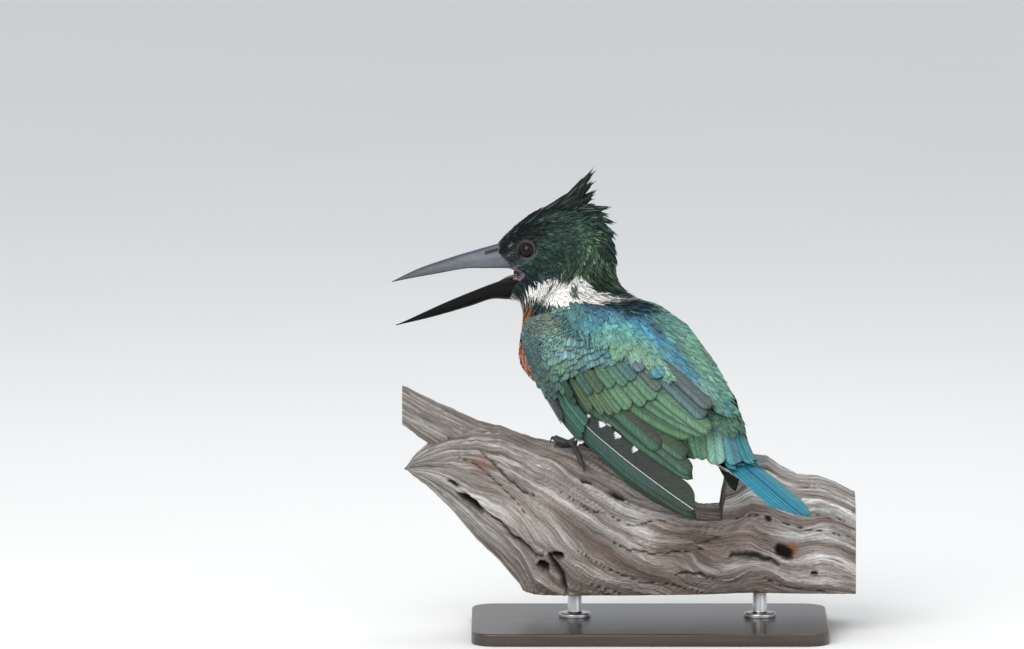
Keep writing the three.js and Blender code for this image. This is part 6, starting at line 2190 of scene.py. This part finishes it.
def driftwood_material():
    """Weathered wood: thin dark and pale fibres along the grain, pits, and bleached high spots."""
    material, tree, shader = new_material("weathered_wood", 0.85, 0.25)
    grain = map_place(tree, "grain")
    fibres, threads, bands = (
        noise_value(tree, stretched(tree, grain, (along, across, 1.0)), 1.0, detail, 0.65, 0.35)
        for along, across, detail in ((0.05, 1.5, 4.0), (0.10, 4.2, 3.0), (0.02, 0.35, 3.0)))
    pits = noise_value(tree, object_place(tree), 520.0, 4.0, 0.7)
    level = weighted(
        tree, 0.98, (remap(tree, fibres, 0.28, 0.72, -0.42, 0.40), 1.0),
        (remap(tree, threads, 0.3, 0.7, -0.26, 0.22), 1.0),
        (remap(tree, bands, 0.3, 0.7, -0.14, 0.14), 1.0), (remap(tree, pits, 0.3, 0.7, -0.10, 0.10), 1.0))
    crack = calculate(tree, "MULTIPLY", remap(tree, threads, 0.30, 0.40, 1.0, 0.0),
                      remap(tree, bands, 0.42, 0.6, 0.0, 0.75))
    colour = blend_colours(tree, crack, shaded_tint(tree, level), (0.045, 0.032, 0.026))
    height = weighted(tree, 0.0, (fibres, 0.8), (threads, 0.5), (crack, -0.5), (pits, 0.3))
    dress(tree, shader, colour, (height, 1.0, 0.0013))
    return material


def stained_wood_material():
    """Dark stained hardwood with a satin lacquer: long fine pores and slow figure along X."""
    material, tree, shader = new_material("stained_hardwood", 0.38, Coat_Weight=0.35,
                                          Coat_Roughness=0.22)
    place = object_place(tree)
    pores = noise_value(tree, stretched(tree, place, (18.0, 420.0, 420.0)), 1.0, 4.0, 0.6, 0.3)
    figure = noise_value(tree, stretched(tree, place, (6.0, 60.0, 60.0)), 1.0, 3.0, 0.5, 0.8)
    share = weighted(tree, 0.0, (remap(tree, pores, 0.35, 0.65), 0.5), (remap(tree, figure, 0.3, 0.7), 0.5))
    dress(tree, shader, blend_colours(tree, share, (0.018, 0.012, 0.009), (0.055, 0.036, 0.025)),
          (pores, 0.15, 0.0002))
    return material


def steel_material():
    """Brushed steel: fine lines round the rod, with roughness that follows them."""
    material, tree, shader = new_material("brushed_steel", 0.3, Metallic=1.0)
    lines = noise_value(tree, stretched(tree, object_place(tree), (40.0, 40.0, 4200.0)), 1.0)
    dress(tree, shader, blend_colours(tree, lines, (0.48, 0.49, 0.50), (0.70, 0.71, 0.72)),
          (lines, 0.1, 0.00005), weighted(tree, 0.2, (lines, 0.2)))
    return material


def floor_material():
    material, tree, shader = new_material("pale_floor", 0.85, 0.2)
    cloudy = noise_value(tree, object_place(tree), 3.0)
    dress(tree, shader, blend_colours(tree, cloudy, (0.80, 0.80, 0.79), (0.84, 0.84, 0.83)))
    return material


def add_floor(material):
    """Wide plain floor that fills the view."""
    x = np.linspace(-FLOOR_REACH, FLOOR_REACH, 3)
    grid = np.stack([*np.meshgrid(x, x), np.zeros((3, 3))], -1)
    floor = add_mesh("floor", grid, [grid_faces(3, 3)[:, ::-1]])
    floor.data.materials.append(material)


# ------------------------------------------------------------------ putting it together

add_camera()
add_lights()
add_floor(floor_material())

BARBS, MOTTLING = barb_group(), speckle_group()
PLUMAGE = feather_material("plumage", BARBS, 0.5, 0.5, 1.12, (0.02, 0.03, 0.03), 0.35), "plumage"
HEAD_PLUMAGE = feather_material("head_plumage", BARBS, 0.5, 0.4, 1.15, (0.01, 0.016, 0.015), 0.2,
                                spacing=0.6, specular=0.09, richness=1.0), "plumage"
FLIGHT = feather_material("flight_feathers", BARBS, 0.45, 0.40, 0.90, (0.012, 0.016, 0.014), 0.75,
                          spacing=0.7, bump=0.6), "plumage"
WHITE_SHAFT = feather_material("white_shafted", BARBS, 0.45, 0.55, 0.95, (0.80, 0.80, 0.77), 1.0,
                               spacing=0.7, bump=0.6), "plumage"
TAIL = feather_material("tail_plumage", BARBS, 0.42, 0.6, 1.04, (0.01, 0.02, 0.025), 0.7,
                        spacing=0.7, bump=0.6, richness=1.1), "tail_feathers"
PALE = feather_material("pale_plumage", BARBS, 0.7, 0.9, 1.08, (0.84, 0.83, 0.80), 0.3, sheen=0.1,
                        sheen_tint=(1.0, 1.0, 1.0), specular=0.25, richness=1.0), "pale_feathers"
MOUTH = soft_material("mouth_lining", MOTTLING, 1100.0, 0.6, 0.4, 0.28, 0.5, Subsurface_Weight=0.1,
                      Subsurface_Scale=0.001, Coat_Weight=0.3, Coat_Roughness=0.2), "mouth"
BARE_SKIN = soft_material("bare_skin", MOTTLING, 1400.0, 0.7, 0.5, 0.6, 0.35), "plumage"
SCALES = foot_material(MOTTLING, "scaly_foot", 0.55, 1500.0), "foot"
CLAWS = foot_material(MOTTLING, "claw_horn", 0.3, 300.0), "foot"
EYE, STEEL = (eye_material(), "eye"), (steel_material(), "stand_steel")

bill_piece("bill_upper", CULMEN, UPPER_EDGE, True, (bill_material("horn", 0.3), "bill"), "upper_bill")
bill_piece("bill_lower", GONYS, LOWER_EDGE, False, (bill_material("dark_horn", 0.12), "bill"),
           "lower_bill")
gape_lining(MOUTH)
tongue_piece(MOUTH)
eye_piece("eyeball_left", 1, EYE, "eye_left")
eye_piece("eyeball_right", -1, EYE, "eye_right")
head_feathers(HEAD_PLUMAGE, PALE)
crest_feathers(HEAD_PLUMAGE)
cape_feathers(PLUMAGE)
body_feathers(PLUMAGE, PALE)
for wing_side in ("left", "right"):
    wing_feathers(wing_side, FLIGHT, WHITE_SHAFT)
tail_feathers(TAIL)
tail_coverts(PLUMAGE, PALE)
tail_base_coverts(FLIGHT)
for foot_side in FEET:
    foot_pieces(foot_side, SCALES, CLAWS)
    thigh_feathers(foot_side, PALE)
skin_piece(BARE_SKIN)
perch_piece((driftwood_material(), "driftwood"))
base_piece((stained_wood_material(), "stand_wood"))
for rod_number, rod_x in enumerate(ROD_PLACES, start=1):
    rod_piece(rod_number, rod_x, STEEL)
